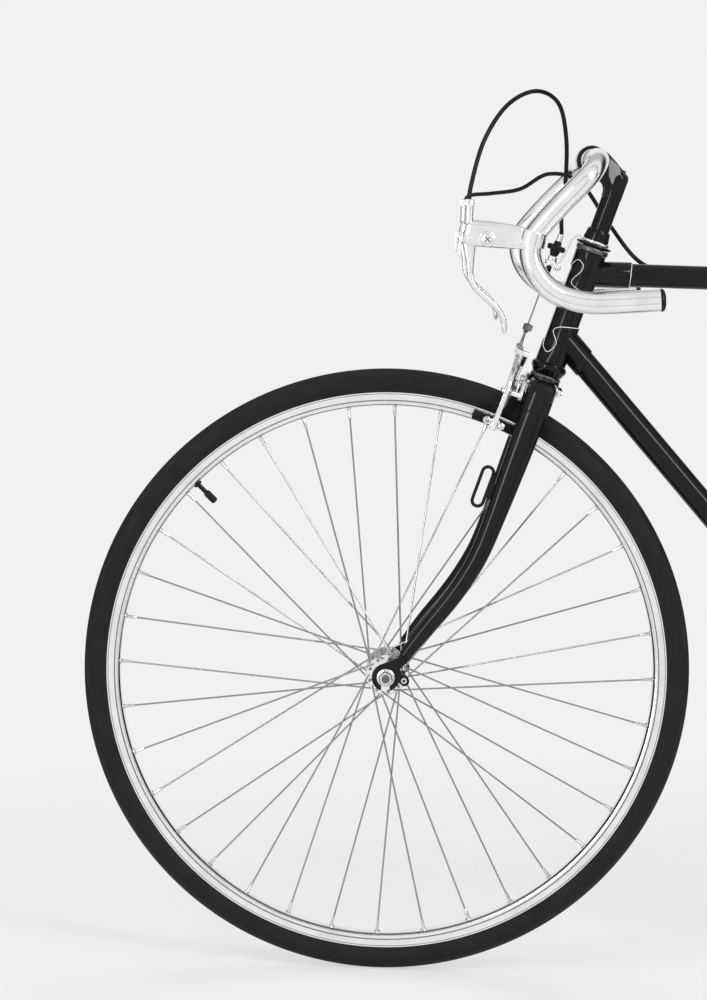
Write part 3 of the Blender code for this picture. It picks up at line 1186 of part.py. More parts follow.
def rear_brake_cable():
    """The black housing from the right lever, along the right of the top tube, to the rear brake."""
    beside_tube = TOP_TUBE_RADIUS + HOUSING_RADIUS + 0.0006
    route = [BAR_CENTRE + Vector((x, y, z)) for x, z, y in REAR_HOUSING]
    lug_end = on_steering_axis(TOP_TUBE_JOINT) + Vector((TOP_SOCKET, 0, 0))
    cluster = on_seat_tube(seat_cluster_height())
    seat = rear_brake_seat()
    stop = seat.at(0, REAR_STOP_LOW + HOUSING_STOP_TOP - HOUSING_STOP_BOTTOM + HOUSING_GAP,
                   REAR_ARM_FORWARD + STRADDLE_FORWARD)
    route += [lug_end + Vector((x, beside_tube + y, z)) for x, y, z in
              ((0.040, 0.0010, 0.0040), (0.075, 0, 0), (0.110, 0, 0))]
    route += [cluster + Vector((x, beside_tube + y, z)) for x, y, z in
              ((-0.115, 0, 0), (-0.080, 0, 0), (-0.052, 0.0060, 0.0130), (-0.026, 0.0140, 0.0310),
               (0, 0.0150, 0.0430))]
    route += [stop + Vector((-0.027, 0.019, 0.0440)), stop + Vector((-0.0145, 0.005, 0.0280)),
              stop + seat.up * 0.012, stop]
    return finish(wire(smooth_route(route, 2), HOUSING_RADIUS, 1), "rear_brake_cable", HOUSING_PLASTIC,
                  "frame_origin", 60)


# Drive

def sprocket_outline(teeth, phase):
    """Outline of a toothed wheel whose first gap between teeth is at the phase angle."""
    radius = pitch_radius(teeth)
    pitch = math.tau / teeth
    outline = []
    for tooth in range(teeth):
        gap = phase + tooth * pitch
        for share, offset in ((-0.2, -0.0046), (0.2, -0.0046), (0.5, 0.0036)):
            angle = gap + share * pitch
            outline.append(((radius + offset) * math.cos(angle), (radius + offset) * math.sin(angle)))
    return outline


class ChainLine:
    """The chain's closed path in the side view, measured in links from where it leaves the sprocket."""

    def __init__(self):
        self.ring = pitch_radius(CHAINRING_TEETH)
        self.sprocket = pitch_radius(SPROCKET_TEETH)
        self.slope = math.asin((self.ring - self.sprocket) / CHAIN_STAY)
        self.base = math.atan2(BRACKET_DROP, math.sqrt(CHAIN_STAY ** 2 - BRACKET_DROP ** 2))
        self.run = CHAIN_STAY * math.cos(self.slope) / CHAIN_PITCH
        self.ring_links = CHAINRING_TEETH * (math.pi + 2 * self.slope) / math.tau
        self.sprocket_links = SPROCKET_TEETH * (math.pi - 2 * self.slope) / math.tau
        self.ring_start = self.base + math.pi / 2 - self.slope
        self.ring_end = self.ring_start + math.pi + 2 * self.slope

    def place(self, links):
        """Centre, outward direction and heading at a distance along the chain, starting on the ring."""
        links %= CHAIN_LINKS
        if links < self.ring_links:
            angle = self.ring_start + links * math.tau / CHAINRING_TEETH
            return self.on_circle(BRACKET, self.ring, angle)
        links -= self.ring_links
        if links < self.run:
            start = self.on_circle(BRACKET, self.ring, self.ring_end)
            end = self.on_circle(REAR_AXLE, self.sprocket, self.ring_end)
            return start[0].lerp(end[0], links / self.run), start[1]
        links -= self.run
        if links < self.sprocket_links:
            angle = self.ring_end + links * math.tau / SPROCKET_TEETH
            return self.on_circle(REAR_AXLE, self.sprocket, angle)
        links -= self.sprocket_links
        start = self.on_circle(REAR_AXLE, self.sprocket, self.ring_start)
        end = self.on_circle(BRACKET, self.ring, self.ring_start)
        return start[0].lerp(end[0], links / self.run), start[1]

    def on_circle(self, centre, radius, angle):
        out = Vector((math.cos(angle), 0, math.sin(angle)))
        return centre + out * radius, out

    def sprocket_phase(self):
        """Angle of one roller on the rear sprocket."""
        arrival = self.ring_links + self.run
        return self.ring_end + (math.ceil(arrival) - arrival) * math.tau / SPROCKET_TEETH


def chain(line):
    """Two rows of link plates joined by a roller at every pin."""
    bm = bmesh.new()
    rows = {}
    for face_side in (-1, 1):
        inner = CHAIN_LINE + face_side * CHAIN_INNER_HALF_WIDTH
        outer = inner + face_side * CHAIN_PLATE

        def corner(place, y):
            return bm.verts.new((place.x, y, place.z))

        pins = []
        for link in range(CHAIN_LINKS):
            centre, out = line.place(link)
            ahead = out.cross(RIGHT)
            high = centre + out * CHAIN_PLATE_HALF_HEIGHT
            low = centre - out * CHAIN_PLATE_HALF_HEIGHT
            pins.append([corner(high, outer), corner(low, outer), corner(high, inner), corner(low, inner),
                         corner(centre + ahead * ROLLER_RADIUS, inner),
                         corner(centre - ahead * ROLLER_RADIUS, inner)])
        for link, pin in enumerate(pins):
            last = pins[link - 1]
            bm.faces.new((pin[0], pin[1], last[1], last[0]))
            bm.faces.new((pin[0], pin[2], last[2], last[0]))
            bm.faces.new((pin[1], pin[3], last[3], last[1]))
            bm.faces.new((pin[2], pin[5], pin[3], last[3], last[4], last[2]))
        rows[face_side] = pins
    for near, far in zip(rows[-1], rows[1]):
        for start, end in ((2, 4), (4, 3), (3, 5), (5, 2)):
            bm.faces.new((near[start], near[end], far[end], far[start]))
    bmesh.ops.recalc_face_normals(bm, faces=bm.faces)
    return finish(mesh_object(bm), "chain", DARK_STEEL, "frame_origin", 30)


def chainring(line):
    """The toothed ring, open in the middle where the spider carries it."""
    placement = side_view(CHAIN_LINE)
    placement.translation += BRACKET
    hole = circle((0, 0), RING_HOLE_RADIUS, 20)
    ring = plate(sprocket_outline(CHAINRING_TEETH, line.ring_start), SPROCKET_THICKNESS, placement, [hole])
    return finish(ring, "chainring", POLISHED_ALLOY, "crank_axis", 30)


def crank_arm(side, direction, name, axis):
    """A crank from its boss on the spindle to the pedal's own spindle."""
    middle = side * CRANK_ARM_OFFSET
    stations = [(BRACKET + direction * distance + RIGHT * middle, depth, CRANK_HALF_THICKNESS)
                for distance, depth in ((0.0, 0.0145), (0.040, 0.0130), (0.110, 0.0112),
                                        (CRANK_LENGTH - 0.010, 0.0122),
                                        (CRANK_LENGTH + 0.004, 0.0125), (CRANK_LENGTH + 0.012, 0.0070))]
    arm = oval_bar(stations, RIGHT, 8, 0.5)
    boss = rod(BRACKET + RIGHT * side * 0.0465, BRACKET + RIGHT * side * (CRANK_ARM_OFFSET + 0.008), 0.0165)
    end = BRACKET + direction * CRANK_LENGTH
    spindle = rod(end + RIGHT * middle, end + RIGHT * side * (PEDAL_CENTRE_OFFSET + 0.038),
                  PEDAL_SPINDLE_RADIUS, sides=8)
    hole = rod(BRACKET + RIGHT * side * 0.030, BRACKET + RIGHT * side * 0.0660, SPINDLE_RADIUS + GAP, sides=8)
    pieces = [boss, spindle] + (spider() if side > 0 else [])
    return finish(cut(union(arm, *pieces), hole), name, POLISHED_ALLOY, axis)


def spider():
    """Five flat arms that carry the ring against its outer face."""
    face = CHAIN_LINE + SPROCKET_THICKNESS / 2 + GAP
    arms = [rod(BRACKET + RIGHT * face, BRACKET + RIGHT * (face + 0.0060), 0.0220, sides=12)]
    for arm in range(SPIDER_ARMS):
        angle = math.pi + math.tau * (arm + 0.5) / SPIDER_ARMS
        out = Vector((math.cos(angle), 0, math.sin(angle)))
        arms.append(oval_bar([(BRACKET + RIGHT * (face + 0.0024) + out * distance, half, 0.0022)
                              for distance, half in ((0.018, 0.0080), (SPIDER_REACH, 0.0050))], RIGHT, 4, 0))
    return arms


def crank_spindle():
    spindle = rod(BRACKET - RIGHT * 0.0655, BRACKET + RIGHT * 0.0655, SPINDLE_RADIUS, sides=8)
    return finish(spindle, "crank_spindle", DARK_STEEL, "crank_axis")


def freewheel(line):
    """The one-sprocket freewheel that screws on the hub's boss."""
    placement = side_view(CHAIN_LINE)
    placement.translation += REAR_AXLE
    sprocket = plate(sprocket_outline(SPROCKET_TEETH, line.sprocket_phase()), SPROCKET_THICKNESS, placement)
    body = rod(REAR_AXLE + RIGHT * 0.0370, REAR_AXLE + RIGHT * 0.0505, 0.0268)
    bore = rod(REAR_AXLE, REAR_AXLE + RIGHT * 0.1, round_bore(FREEWHEEL_BORE, TUBE_SIDES))
    return finish(cut(union(sprocket, body), bore), "freewheel", DARK_STEEL, "rear_wheel_axis", 30)


def pedal(side, direction, name, axis):
    """A cage pedal: a barrel on the spindle, two cross plates and two side plates."""
    centre = BRACKET + direction * CRANK_LENGTH + RIGHT * side * PEDAL_CENTRE_OFFSET
    barrel = rod(centre + RIGHT * side * PEDAL_INNER, centre + RIGHT * side * PEDAL_OUTER, 0.0105, sides=10)
    cross = [block(centre + RIGHT * side * offset, (1, 0, 0), RIGHT, (2 * PEDAL_HALF_LENGTH, 0.0030, 0.0150))
             for offset in (PEDAL_INNER + 0.006, PEDAL_OUTER - 0.012)]
    cages = [block(centre + Vector((across, 0, 0)), (1, 0, 0), RIGHT, (0.0022, 0.0860, 0.0240))
             for across in (-PEDAL_HALF_LENGTH, PEDAL_HALF_LENGTH)]
    bore = rod(centre + RIGHT * side * (PEDAL_INNER - 0.01), centre + RIGHT * side * (PEDAL_OUTER - 0.003),
               round_bore(PEDAL_SPINDLE_RADIUS + RUNNING_GAP, 8), sides=8)
    return finish(cut(union(barrel, *cross, *cages), bore), name, PEDAL_STEEL, axis)


# Seat

def seat_post():
    top = SEAT_POST_TOP
    profile = [(0.0095, top), (0.0110, top), (0.0110, top - 0.034), (SEAT_POST_RADIUS, top - 0.038),
               (SEAT_POST_RADIUS, 0.4700), (0.0113, 0.4700), (0.0113, top - 0.044), (0.0095, top - 0.038)]
    return finish(turned(profile, BRACKET, SEAT_UP, TUBE_SIDES), "seat_post", POLISHED_ALLOY, "frame_origin")


def seat_clamp():
    """The clamp on top of the post that grips both rails."""
    centre = SADDLE_CLAMP_CENTRE
    collar = rod(on_seat_tube(SEAT_POST_TOP - 0.026), on_seat_tube(SEAT_POST_TOP + 0.001), 0.0150)
    bolt = rod(centre - RIGHT * 0.036, centre + RIGHT * 0.036, 0.0040, sides=6)
    cheeks = [rod(centre + RIGHT * side * 0.0120, centre + RIGHT * side * 0.0310, 0.0140,
                  sides=8) for side in (-1, 1)]
    post = rod(on_seat_tube(0.5), on_seat_tube(SEAT_POST_TOP + GAP), 0.0110 + GAP)
    rail = wire(rail_points(), RAIL_RADIUS + GAP, 1)
    return finish(cut(union(collar, bolt, *cheeks), post, rail), "seat_clamp", BRIGHT_STEEL, "frame_origin")


def rail_points():
    """The rails as one bent wire, from the left rear to the nose and back to the right rear."""
    c = SADDLE_CLAMP_CENTRE
    low = RAIL_RISE - 0.0205
    half = [(0.105, RAIL_HALF_SPACING + 0.008, RAIL_RISE), (0.085, RAIL_HALF_SPACING + 0.006,
                                                            RAIL_RISE - 0.0090),
            (0.055, RAIL_HALF_SPACING, low), (0.030, RAIL_HALF_SPACING, low),
            (-0.030, RAIL_HALF_SPACING, low),
            (-0.060, 0.0165, low + 0.0035), (-0.115, 0.0120, RAIL_RISE - 0.0040),
            (-0.135, 0.0080, RAIL_RISE - 0.0005),
            (-0.141, 0.0, RAIL_RISE)]
    left = [Vector((c.x + x, -y, c.z + z)) for x, y, z in half]
    right = [Vector((c.x + x, y, c.z + z)) for x, y, z in reversed(half[:-1])]
    return left + right


def saddle_rails():
    return finish(wire(rail_points(), RAIL_RADIUS, 1), "saddle_rails", BRIGHT_STEEL, "frame_origin")


def saddle():
    """A narrow racing saddle: wide and domed at the rear, drawn in to a rounded nose."""
    c = SADDLE_CLAMP_CENTRE
    floor = c.z + RAIL_RISE + RAIL_RADIUS + GAP
    nose = c.x - 0.547 * SADDLE_LENGTH
    shares = [(0.0, 0.162, 0.387, 0.455), (0.025, 0.257, 0.645, 0.727), (0.133, 0.304, 0.790, 0.909),
              (0.331, 0.365, 0.774, 1.0), (0.511, 0.514, 0.742, 0.909), (0.673, 0.770, 0.806, 0.864),
              (0.817, 0.973, 0.935, 0.818), (0.924, 1.0, 1.0, 0.773), (0.978, 0.865, 0.839, 0.545),
              (1.0, 0.608, 0.645, 0.273)]
    rings = []
    for along, wide, high, deep in shares:
        x = nose - c.x + SADDLE_LENGTH * along
        half_width, height, skirt = SADDLE_HALF_WIDTH * wide, SADDLE_HEIGHT * high, SADDLE_SKIRT * deep
        ring = []
        for step in range(8):
            angle = math.pi * step / 7
            ring.append(Vector((c.x + x, half_width * math.cos(angle),
                                floor + height * math.sin(angle) ** 0.7)))
        ring += [Vector((c.x + x, -half_width * 0.96, floor - skirt)),
                 Vector((c.x + x, -half_width * 0.82, floor - skirt)),
                 Vector((c.x + x, -half_width * 0.80, floor)), Vector((c.x + x, half_width * 0.80, floor)),
                 Vector((c.x + x, half_width * 0.82, floor - skirt)),
                 Vector((c.x + x, half_width * 0.96, floor - skirt))]
        rings.append(ring)
    return finish(loft(rings), "saddle", SADDLE_LEATHER, "frame_origin", 50)


def build():
    front = front_brake_seat()
    rear = rear_brake_seat()
    crank_forward = Vector((-1, 0, 0))
    axis_empty("frame_origin", (0, 0, 0))
    axis_empty("steering_axis", on_steering_axis(HEAD_TUBE_BOTTOM), "frame_origin")
    axis_empty("front_wheel_axis", FRONT_AXLE, "steering_axis")
    axis_empty("rear_wheel_axis", REAR_AXLE, "frame_origin")
    axis_empty("crank_axis", BRACKET, "frame_origin")
    axis_empty("left_pedal_axis", BRACKET - crank_forward * CRANK_LENGTH, "crank_axis")
    axis_empty("right_pedal_axis", BRACKET + crank_forward * CRANK_LENGTH, "crank_axis")
    for side, name in ((-1, "left"), (1, "right")):
        axis_empty(name + "_lever_pivot", lever_place(side, LEVER_PIVOT.x, LEVER_PIVOT.z), "steering_axis")
        for seat, end, body in ((front, "front", "steering_axis"), (rear, "rear", "frame_origin")):
            axis_empty(end + "_" + name + "_arm_pivot", seat.at(side * ARM_PIVOT_HALF_SPACING,
                                                                -ARM_PIVOT_DROP, 0), body)
    axis_empty("front_straddle_slide", front.at(0, YOKE_HEIGHT, 0), "steering_axis")
    axis_empty("rear_straddle_slide", rear.at(0, YOKE_HEIGHT, 0), "frame_origin")

    line = ChainLine()
    frame_tubes()
    head_lugs()
    seat_lug()
    binder_bolt()
    bracket_shell()
    chain_stays()
    seat_stays()
    brake_bridge()
    headset()
    cable_hanger()
    fork_crown()
    fork_blades()
    stem()
    handlebar()
    for side, name in ((-1, "left"), (1, "right")):
        lever_body(side, name + "_lever_body")
        lever_blade(side, name + "_lever_blade", name + "_lever_pivot")
    brakes()
    front_brake_cable()
    rear_brake_cable()
    tyre(FRONT_AXLE, "front_tyre", "front_wheel_axis")
    rim(FRONT_AXLE, "front_rim", "front_wheel_axis")
    spoked_hub(FRONT_AXLE, FRONT_FLANGE_OFFSET, 0.0125, FRONT_AXLE_RADIUS, "front_hub", "front_wheel_axis")
    front_cone = FRONT_FLANGE_OFFSET + HUB_END + RUNNING_GAP
    wheel_axle(FRONT_AXLE, FRONT_AXLE_RADIUS, FRONT_TIP_SPACING, front_cone, front_cone, "front_axle",
               "steering_axis")
    tyre(REAR_AXLE, "rear_tyre", "rear_wheel_axis")
    rim(REAR_AXLE, "rear_rim", "rear_wheel_axis")
    spoked_hub(REAR_AXLE, REAR_FLANGE_OFFSET, 0.0135, REAR_AXLE_RADIUS, "rear_hub", "rear_wheel_axis", 0.0500)
    rear_cone = REAR_FLANGE_OFFSET + HUB_END + RUNNING_GAP
    wheel_axle(REAR_AXLE, REAR_AXLE_RADIUS, REAR_DROPOUT_SPACING, rear_cone, 0.0510, "rear_axle",
               "frame_origin")
    crank_arm(1, crank_forward, "right_crank", "crank_axis")
    crank_arm(-1, -crank_forward, "left_crank", "crank_axis")
    crank_spindle()
    chainring(line)
    freewheel(line)
    chain(line)
    pedal(-1, -crank_forward, "left_pedal", "left_pedal_axis")
    pedal(1, crank_forward, "right_pedal", "right_pedal_axis")
    seat_post()
    seat_clamp()
    saddle_rails()
    saddle()


build()
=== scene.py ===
"""Looks for a lugged steel road bicycle: fine shapes, materials, light and the photograph's camera.

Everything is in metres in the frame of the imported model: the bicycle faces -X, its chain is on the +Y side
and the origin is on the ground midway between the axles.
"""
import json
import math

import bmesh
import bpy
from mathutils import Matrix, Vector


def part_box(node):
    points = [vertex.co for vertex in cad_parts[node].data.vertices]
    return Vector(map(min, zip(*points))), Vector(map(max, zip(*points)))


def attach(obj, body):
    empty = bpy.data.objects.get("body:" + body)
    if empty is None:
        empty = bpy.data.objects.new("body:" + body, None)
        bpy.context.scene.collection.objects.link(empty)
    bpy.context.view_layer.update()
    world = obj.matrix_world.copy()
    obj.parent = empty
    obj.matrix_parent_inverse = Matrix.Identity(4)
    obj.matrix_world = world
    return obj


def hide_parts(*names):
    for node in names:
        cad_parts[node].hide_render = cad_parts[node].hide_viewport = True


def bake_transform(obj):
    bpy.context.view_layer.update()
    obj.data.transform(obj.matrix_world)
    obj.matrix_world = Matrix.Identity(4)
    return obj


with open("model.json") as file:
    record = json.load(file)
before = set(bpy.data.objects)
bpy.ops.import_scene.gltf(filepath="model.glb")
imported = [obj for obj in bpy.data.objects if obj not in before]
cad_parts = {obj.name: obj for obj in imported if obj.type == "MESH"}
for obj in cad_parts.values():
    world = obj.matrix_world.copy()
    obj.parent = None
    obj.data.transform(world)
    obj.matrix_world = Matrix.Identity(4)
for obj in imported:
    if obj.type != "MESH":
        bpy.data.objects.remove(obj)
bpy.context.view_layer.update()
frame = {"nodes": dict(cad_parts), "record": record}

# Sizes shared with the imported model
WHEELBASE = 1.03361
AXLE_HEIGHT = 0.34483
FRONT_AXLE = Vector((-WHEELBASE / 2, 0, AXLE_HEIGHT))
REAR_AXLE = Vector((WHEELBASE / 2, 0, AXLE_HEIGHT))
BRACKET = Vector((0.08141, 0, 0.27563))
RIGHT = Vector((0, 1, 0))
HEAD_ANGLE = math.radians(71.95)
SEAT_ANGLE = math.radians(72.5)
STEER_UP = Vector((math.cos(HEAD_ANGLE), 0, math.sin(HEAD_ANGLE)))
STEER_BACK = Vector((math.sin(HEAD_ANGLE), 0, -math.cos(HEAD_ANGLE)))
STEER_FOOT = FRONT_AXLE + Vector((0.0545 / math.sin(HEAD_ANGLE), 0, 0))
SEAT_UP = Vector((math.cos(SEAT_ANGLE), 0, math.sin(SEAT_ANGLE)))
SEAT_BACK = Vector((math.sin(SEAT_ANGLE), 0, -math.cos(SEAT_ANGLE)))
CLAMP_HEIGHT, CLAMP_REACH = 0.6036, 0.0357
RIM_EDGE = 0.3187
RIM_INNER = 0.3030
SPOKE_PITCH = math.tau / 18
SPOKE_RADIUS = 0.00098
WHEEL_STEPS = 240
MERGE = 0.00001
PALE = 0.879
FLOOR = 0.752
WORLD_LEVEL = 0.6
SMALL_TURN = 0.000001
TOP_JOINT, DOWN_JOINT = 0.482, 0.4085
TOP_TUBE, DOWN_TUBE, SEAT_TUBE = 0.0131, 0.0141, 0.0143
TOP_SOCKET_LENGTH = 0.052
STAY_SIDE = 0.06225
GRIP_SIDE = 0.190
HOUSING_RADIUS = 0.0024
WIRE_RADIUS = 0.0009
WIRE_ACROSS = -0.0388
BARREL_FOOT = 0.474
SADDLE_CLAMP = 0.676
PIVOT_SIDE, PIVOT_HEIGHT = 0.032, -0.017
YOKE_HEIGHT = 0.056
TYRE_SECTION = 0.0152
BRAKE_TRACK = 0.3095
FLANGE_RADIUS = 0.0192
VALVE_ANGLE = math.radians(137)
FORK_END_SIDE, CROWN_SIDE = 0.05225, 0.031
BAR_RADIUS = 0.0119
CROWN_BOLT = 0.347
SIDES = ((-1, "left"), (1, "right"))
CHAIN_PITCH = 0.0127
CHAIN_LINKS = 102
CHAIN_LINE = 0.043
RING_TEETH = 46
SPROCKET_TEETH = 18


def steer(along, across=0.0, side=0.0):
    """A point by its way up the steering axis, back across it and to the side."""
    return STEER_FOOT + STEER_UP * along + STEER_BACK * across + RIGHT * side


def seat_point(along, across=0.0, side=0.0):
    """A point by its way up the seat tube, back across it and to the side."""
    return BRACKET + SEAT_UP * along + SEAT_BACK * across + RIGHT * side


BAR_CENTRE = steer(CLAMP_HEIGHT, -CLAMP_REACH)
CLUSTER = (steer(TOP_JOINT).z - BRACKET.z) / SEAT_UP.z


# Materials

def principled(name, color, roughness, metallic=0.0, **sockets):
    """A material with its plain values on the shader."""
    material = bpy.data.materials.new(name)
    material.use_nodes = True
    shader = material.node_tree.nodes["Principled BSDF"]
    shader.inputs["Base Color"].default_value = (*color, 1)
    shader.inputs["Roughness"].default_value = roughness
    shader.inputs["Metallic"].default_value = metallic
    for socket, value in sockets.items():
        shader.inputs[socket.replace("_", " ")].default_value = value
    return material


class Nodes:
    """A short way to add nodes to a material."""

    def __init__(self, material):
        self.tree = material.node_tree
        self.shader = self.tree.nodes["Principled BSDF"]
        self.coords = self.tree.nodes.new("ShaderNodeTexCoord")

    def add(self, kind, inputs=(), **settings):
        node = self.tree.nodes.new("ShaderNode" + kind)
        for key, value in settings.items():
            setattr(node, key, value)
        for key, value in dict(inputs).items():
            if hasattr(value, "links"):
                self.tree.links.new(value, node.inputs[key])
            else:
                node.inputs[key].default_value = value
        return node

    def link(self, output, socket):
        self.tree.links.new(output, self.shader.inputs[socket])

    def noise(self, scale, detail=3.0, roughness=0.5):
        return self.add("TexNoise", {"Vector": self.coords.outputs["Object"], "Scale": scale,
                                     "Detail": detail, "Roughness": roughness})

    def span(self, value, low, high, start=0.0, end=1.0):
        node = self.add("MapRange", {"Value": value, "From Min": start, "From Max": end, "To Min": low,
                                     "To Max": high})
        return node.outputs["Result"]

    def math(self, operation, first, second=0.0):
        return self.add("Math", {0: first, 1: second}, operation=operation).outputs["Value"]

    def mix(self, share, first, second):
        node = self.add("Mix", data_type="RGBA")
        for key, value in (("Factor", share), ("A", first), ("B", second)):
            socket = [s for s in node.inputs if s.name == key and s.enabled][0]
            if hasattr(value, "links"):
                self.tree.links.new(value, socket)
            else:
                socket.default_value = value
        return [s for s in node.outputs if s.enabled][0]

    def bump(self, height, strength, distance):
        node = self.add("Bump", {"Height": height, "Strength": strength, "Distance": distance})
        self.link(node.outputs["Normal"], "Normal")

    def radius_about(self, centre):
        """Distance from an axle, in the bicycle's side view."""
        offset = self.add("VectorMath", {0: self.coords.outputs["Object"], 1: tuple(centre)},
                          operation="SUBTRACT")
        parts = self.add("SeparateXYZ", {"Vector": offset.outputs["Vector"]})
        x, z = parts.outputs["X"], parts.outputs["Z"]
        return self.math("SQRT", self.math("ADD", self.math("MULTIPLY", x, x),
                                           self.math("MULTIPLY", z, z))), x, z


def paint():
    """Black gloss enamel with faint dust and uneven polish."""
    material = principled("black_enamel", (0.0035, 0.0035, 0.0040), 0.14, Specular_IOR_Level=0.22,
                          Coat_Weight=0.06, Coat_Roughness=0.04)
    n = Nodes(material)
    wear = n.noise(38, 5, 0.62)
    n.link(n.span(wear.outputs["Fac"], 0.09, 0.20, 0.35, 0.7), "Roughness")
    dust = n.noise(9, 3)
    n.link(n.mix(n.span(dust.outputs["Fac"], 0, 1, 0.52, 0.75), (0.0030, 0.0030, 0.0034, 1),
                 (0.0065, 0.0065, 0.0068, 1)), "Base Color")
    n.bump(n.noise(260, 2).outputs["Fac"], 0.05, 0.0004)
    return material


def metal(name, color, low, high, bump=0.04, tint=0.86):
    """Polished or plated metal whose gloss varies a little, with fine marks."""
    material = principled(name, color, (low + high) / 2, 1.0)
    n = Nodes(material)
    clouds = n.noise(45, 4)
    marks = n.noise(700, 2, 0.6)
    n.link(n.span(clouds.outputs["Fac"], low, high, 0.3, 0.7), "Roughness")
    dull = tuple(c * tint for c in color)
    n.link(n.mix(n.span(clouds.outputs["Fac"], 0, 1, 0.4, 0.75), (*color, 1), (*dull, 1)), "Base Color")
    n.bump(marks.outputs["Fac"], bump, 0.0003)
    return material


def rim_metal(axle, name):
    """Polished alloy, fine concentric marks on its brake track and dark rings of painted shade at its edges.
    """
    material = principled(name, (0.90, 0.90, 0.91), 0.14, 1.0)
    n = Nodes(material)
    radius, _, _ = n.radius_about(axle)
    rings = n.math("SINE", n.math("MULTIPLY", radius, 9000.0))
    clouds = n.noise(30, 4)
    n.link(n.span(clouds.outputs["Fac"], 0.10, 0.24, 0.3, 0.7), "Roughness")
    bright = n.mix(n.span(clouds.outputs["Fac"], 0, 1, 0.45, 0.8), (0.91, 0.91, 0.92, 1),
                   (0.74, 0.74, 0.75, 1))
    # Thin dark rings of painted shade where the rim's section has its edges; the radii are named groove, but
    # nothing is cut.
    painted_edge_shade = 0.0
    for groove, half in ((0.3096, 0.00055), (0.3168, 0.0004), (0.3044, 0.0006)):
        near = n.math("LESS_THAN", n.math("ABSOLUTE", n.math("SUBTRACT", radius, groove)), half)
        painted_edge_shade = n.math("MAXIMUM", near, painted_edge_shade)
    n.link(n.mix(n.math("MULTIPLY", painted_edge_shade, 0.85), bright, (0.10, 0.10, 0.10, 1)), "Base Color")
    n.bump(n.span(rings, 0, 1, -1, 1), 0.06, 0.0002)
    return material


def tyre_rubber():
    """Black rubber: dusty tread with slanted cuts at its edges, and plain sidewalls with fine lines."""
    material = principled("tyre_black", (0.009, 0.009, 0.009), 0.7, Specular_IOR_Level=0.25)
    n = Nodes(material)
    uv = n.add("UVMap", uv_map="wrap")
    parts = n.add("SeparateXYZ", {"Vector": uv.outputs["UV"]})
    round_the_wheel, across = parts.outputs["X"], parts.outputs["Y"]
    centre = n.math("ABSOLUTE", n.math("SUBTRACT", across, 0.5))
    slanted = n.math("ADD", n.math("MULTIPLY", round_the_wheel, 420.0), n.math("MULTIPLY", centre, 22.0))
    cuts = n.math("GREATER_THAN", n.math("FRACT", slanted), 0.62)
    shoulder = n.math("MULTIPLY", n.math("GREATER_THAN", centre, 0.085), n.math("LESS_THAN", centre, 0.20))
    file_marks = n.math("SINE", n.math("MULTIPLY", round_the_wheel, 9000.0))
    middle = n.math("LESS_THAN", centre, 0.085)
    wall_lines = n.math("GREATER_THAN", n.math("SINE", n.math("MULTIPLY", across, 420.0)), 0.8)
    wall = n.math("GREATER_THAN", centre, 0.26)
    height = n.math("SUBTRACT", n.math("MULTIPLY", n.math("MULTIPLY", wall_lines, wall), 0.25),
                    n.math("MULTIPLY", cuts, shoulder))
    height = n.math("ADD", height, n.math("MULTIPLY", n.math("MULTIPLY", file_marks, middle), 0.2))
    grain = n.noise(900, 2).outputs["Fac"]
    n.bump(n.math("ADD", height, n.math("MULTIPLY", grain, 0.35)), 0.55, 0.0008)
    dust = n.noise(26, 5, 0.65).outputs["Fac"]
    worn = n.math("MULTIPLY", n.span(dust, 0, 1, 0.42, 0.72), n.math("LESS_THAN", centre, 0.22))
    n.link(n.mix(worn, (0.007, 0.007, 0.007, 1), (0.019, 0.019, 0.019, 1)), "Base Color")
    n.link(n.span(dust, 0.58, 0.82, 0.3, 0.7), "Roughness")
    return material


def leather():
    """Creased saddle hide with fine pores."""
    material = principled("saddle_hide", (0.012, 0.011, 0.010), 0.42, Coat_Weight=0.15, Coat_Roughness=0.3)
    n = Nodes(material)
    cells = n.add("TexVoronoi", {"Vector": n.coords.outputs["Object"], "Scale": 520.0},
                  feature="DISTANCE_TO_EDGE")
    creases = n.noise(40, 6, 0.7)
    n.bump(n.math("ADD", n.span(cells.outputs["Distance"], 0, 1, 0.0, 0.25),
                  n.math("MULTIPLY", creases.outputs["Fac"], 0.6)), 0.30, 0.0006)
    n.link(n.span(creases.outputs["Fac"], 0.34, 0.58, 0.3, 0.7), "Roughness")
    n.link(n.mix(n.span(creases.outputs["Fac"], 0, 1, 0.4, 0.8), (0.010, 0.009, 0.009, 1),
                 (0.026, 0.024, 0.022, 1)), "Base Color")
    return material


def plastic(name, color, roughness, gloss=0.5):
    """Moulded plastic, rubber or paint with a fine grain."""
    material = principled(name, color, roughness, Specular_IOR_Level=gloss)
    n = Nodes(material)
    fine = n.noise(300, 3)
    lighter = tuple(min(c * 1.8 + 0.002, 1) for c in color)
    n.link(n.span(fine.outputs["Fac"], roughness - 0.08, roughness + 0.1, 0.3, 0.7), "Roughness")
    n.link(n.mix(n.span(n.noise(12, 4).outputs["Fac"], 0, 1, 0.45, 0.8), (*color, 1), (*lighter, 1)),
           "Base Color")
    n.bump(fine.outputs["Fac"], 0.08, 0.0003)
    return material


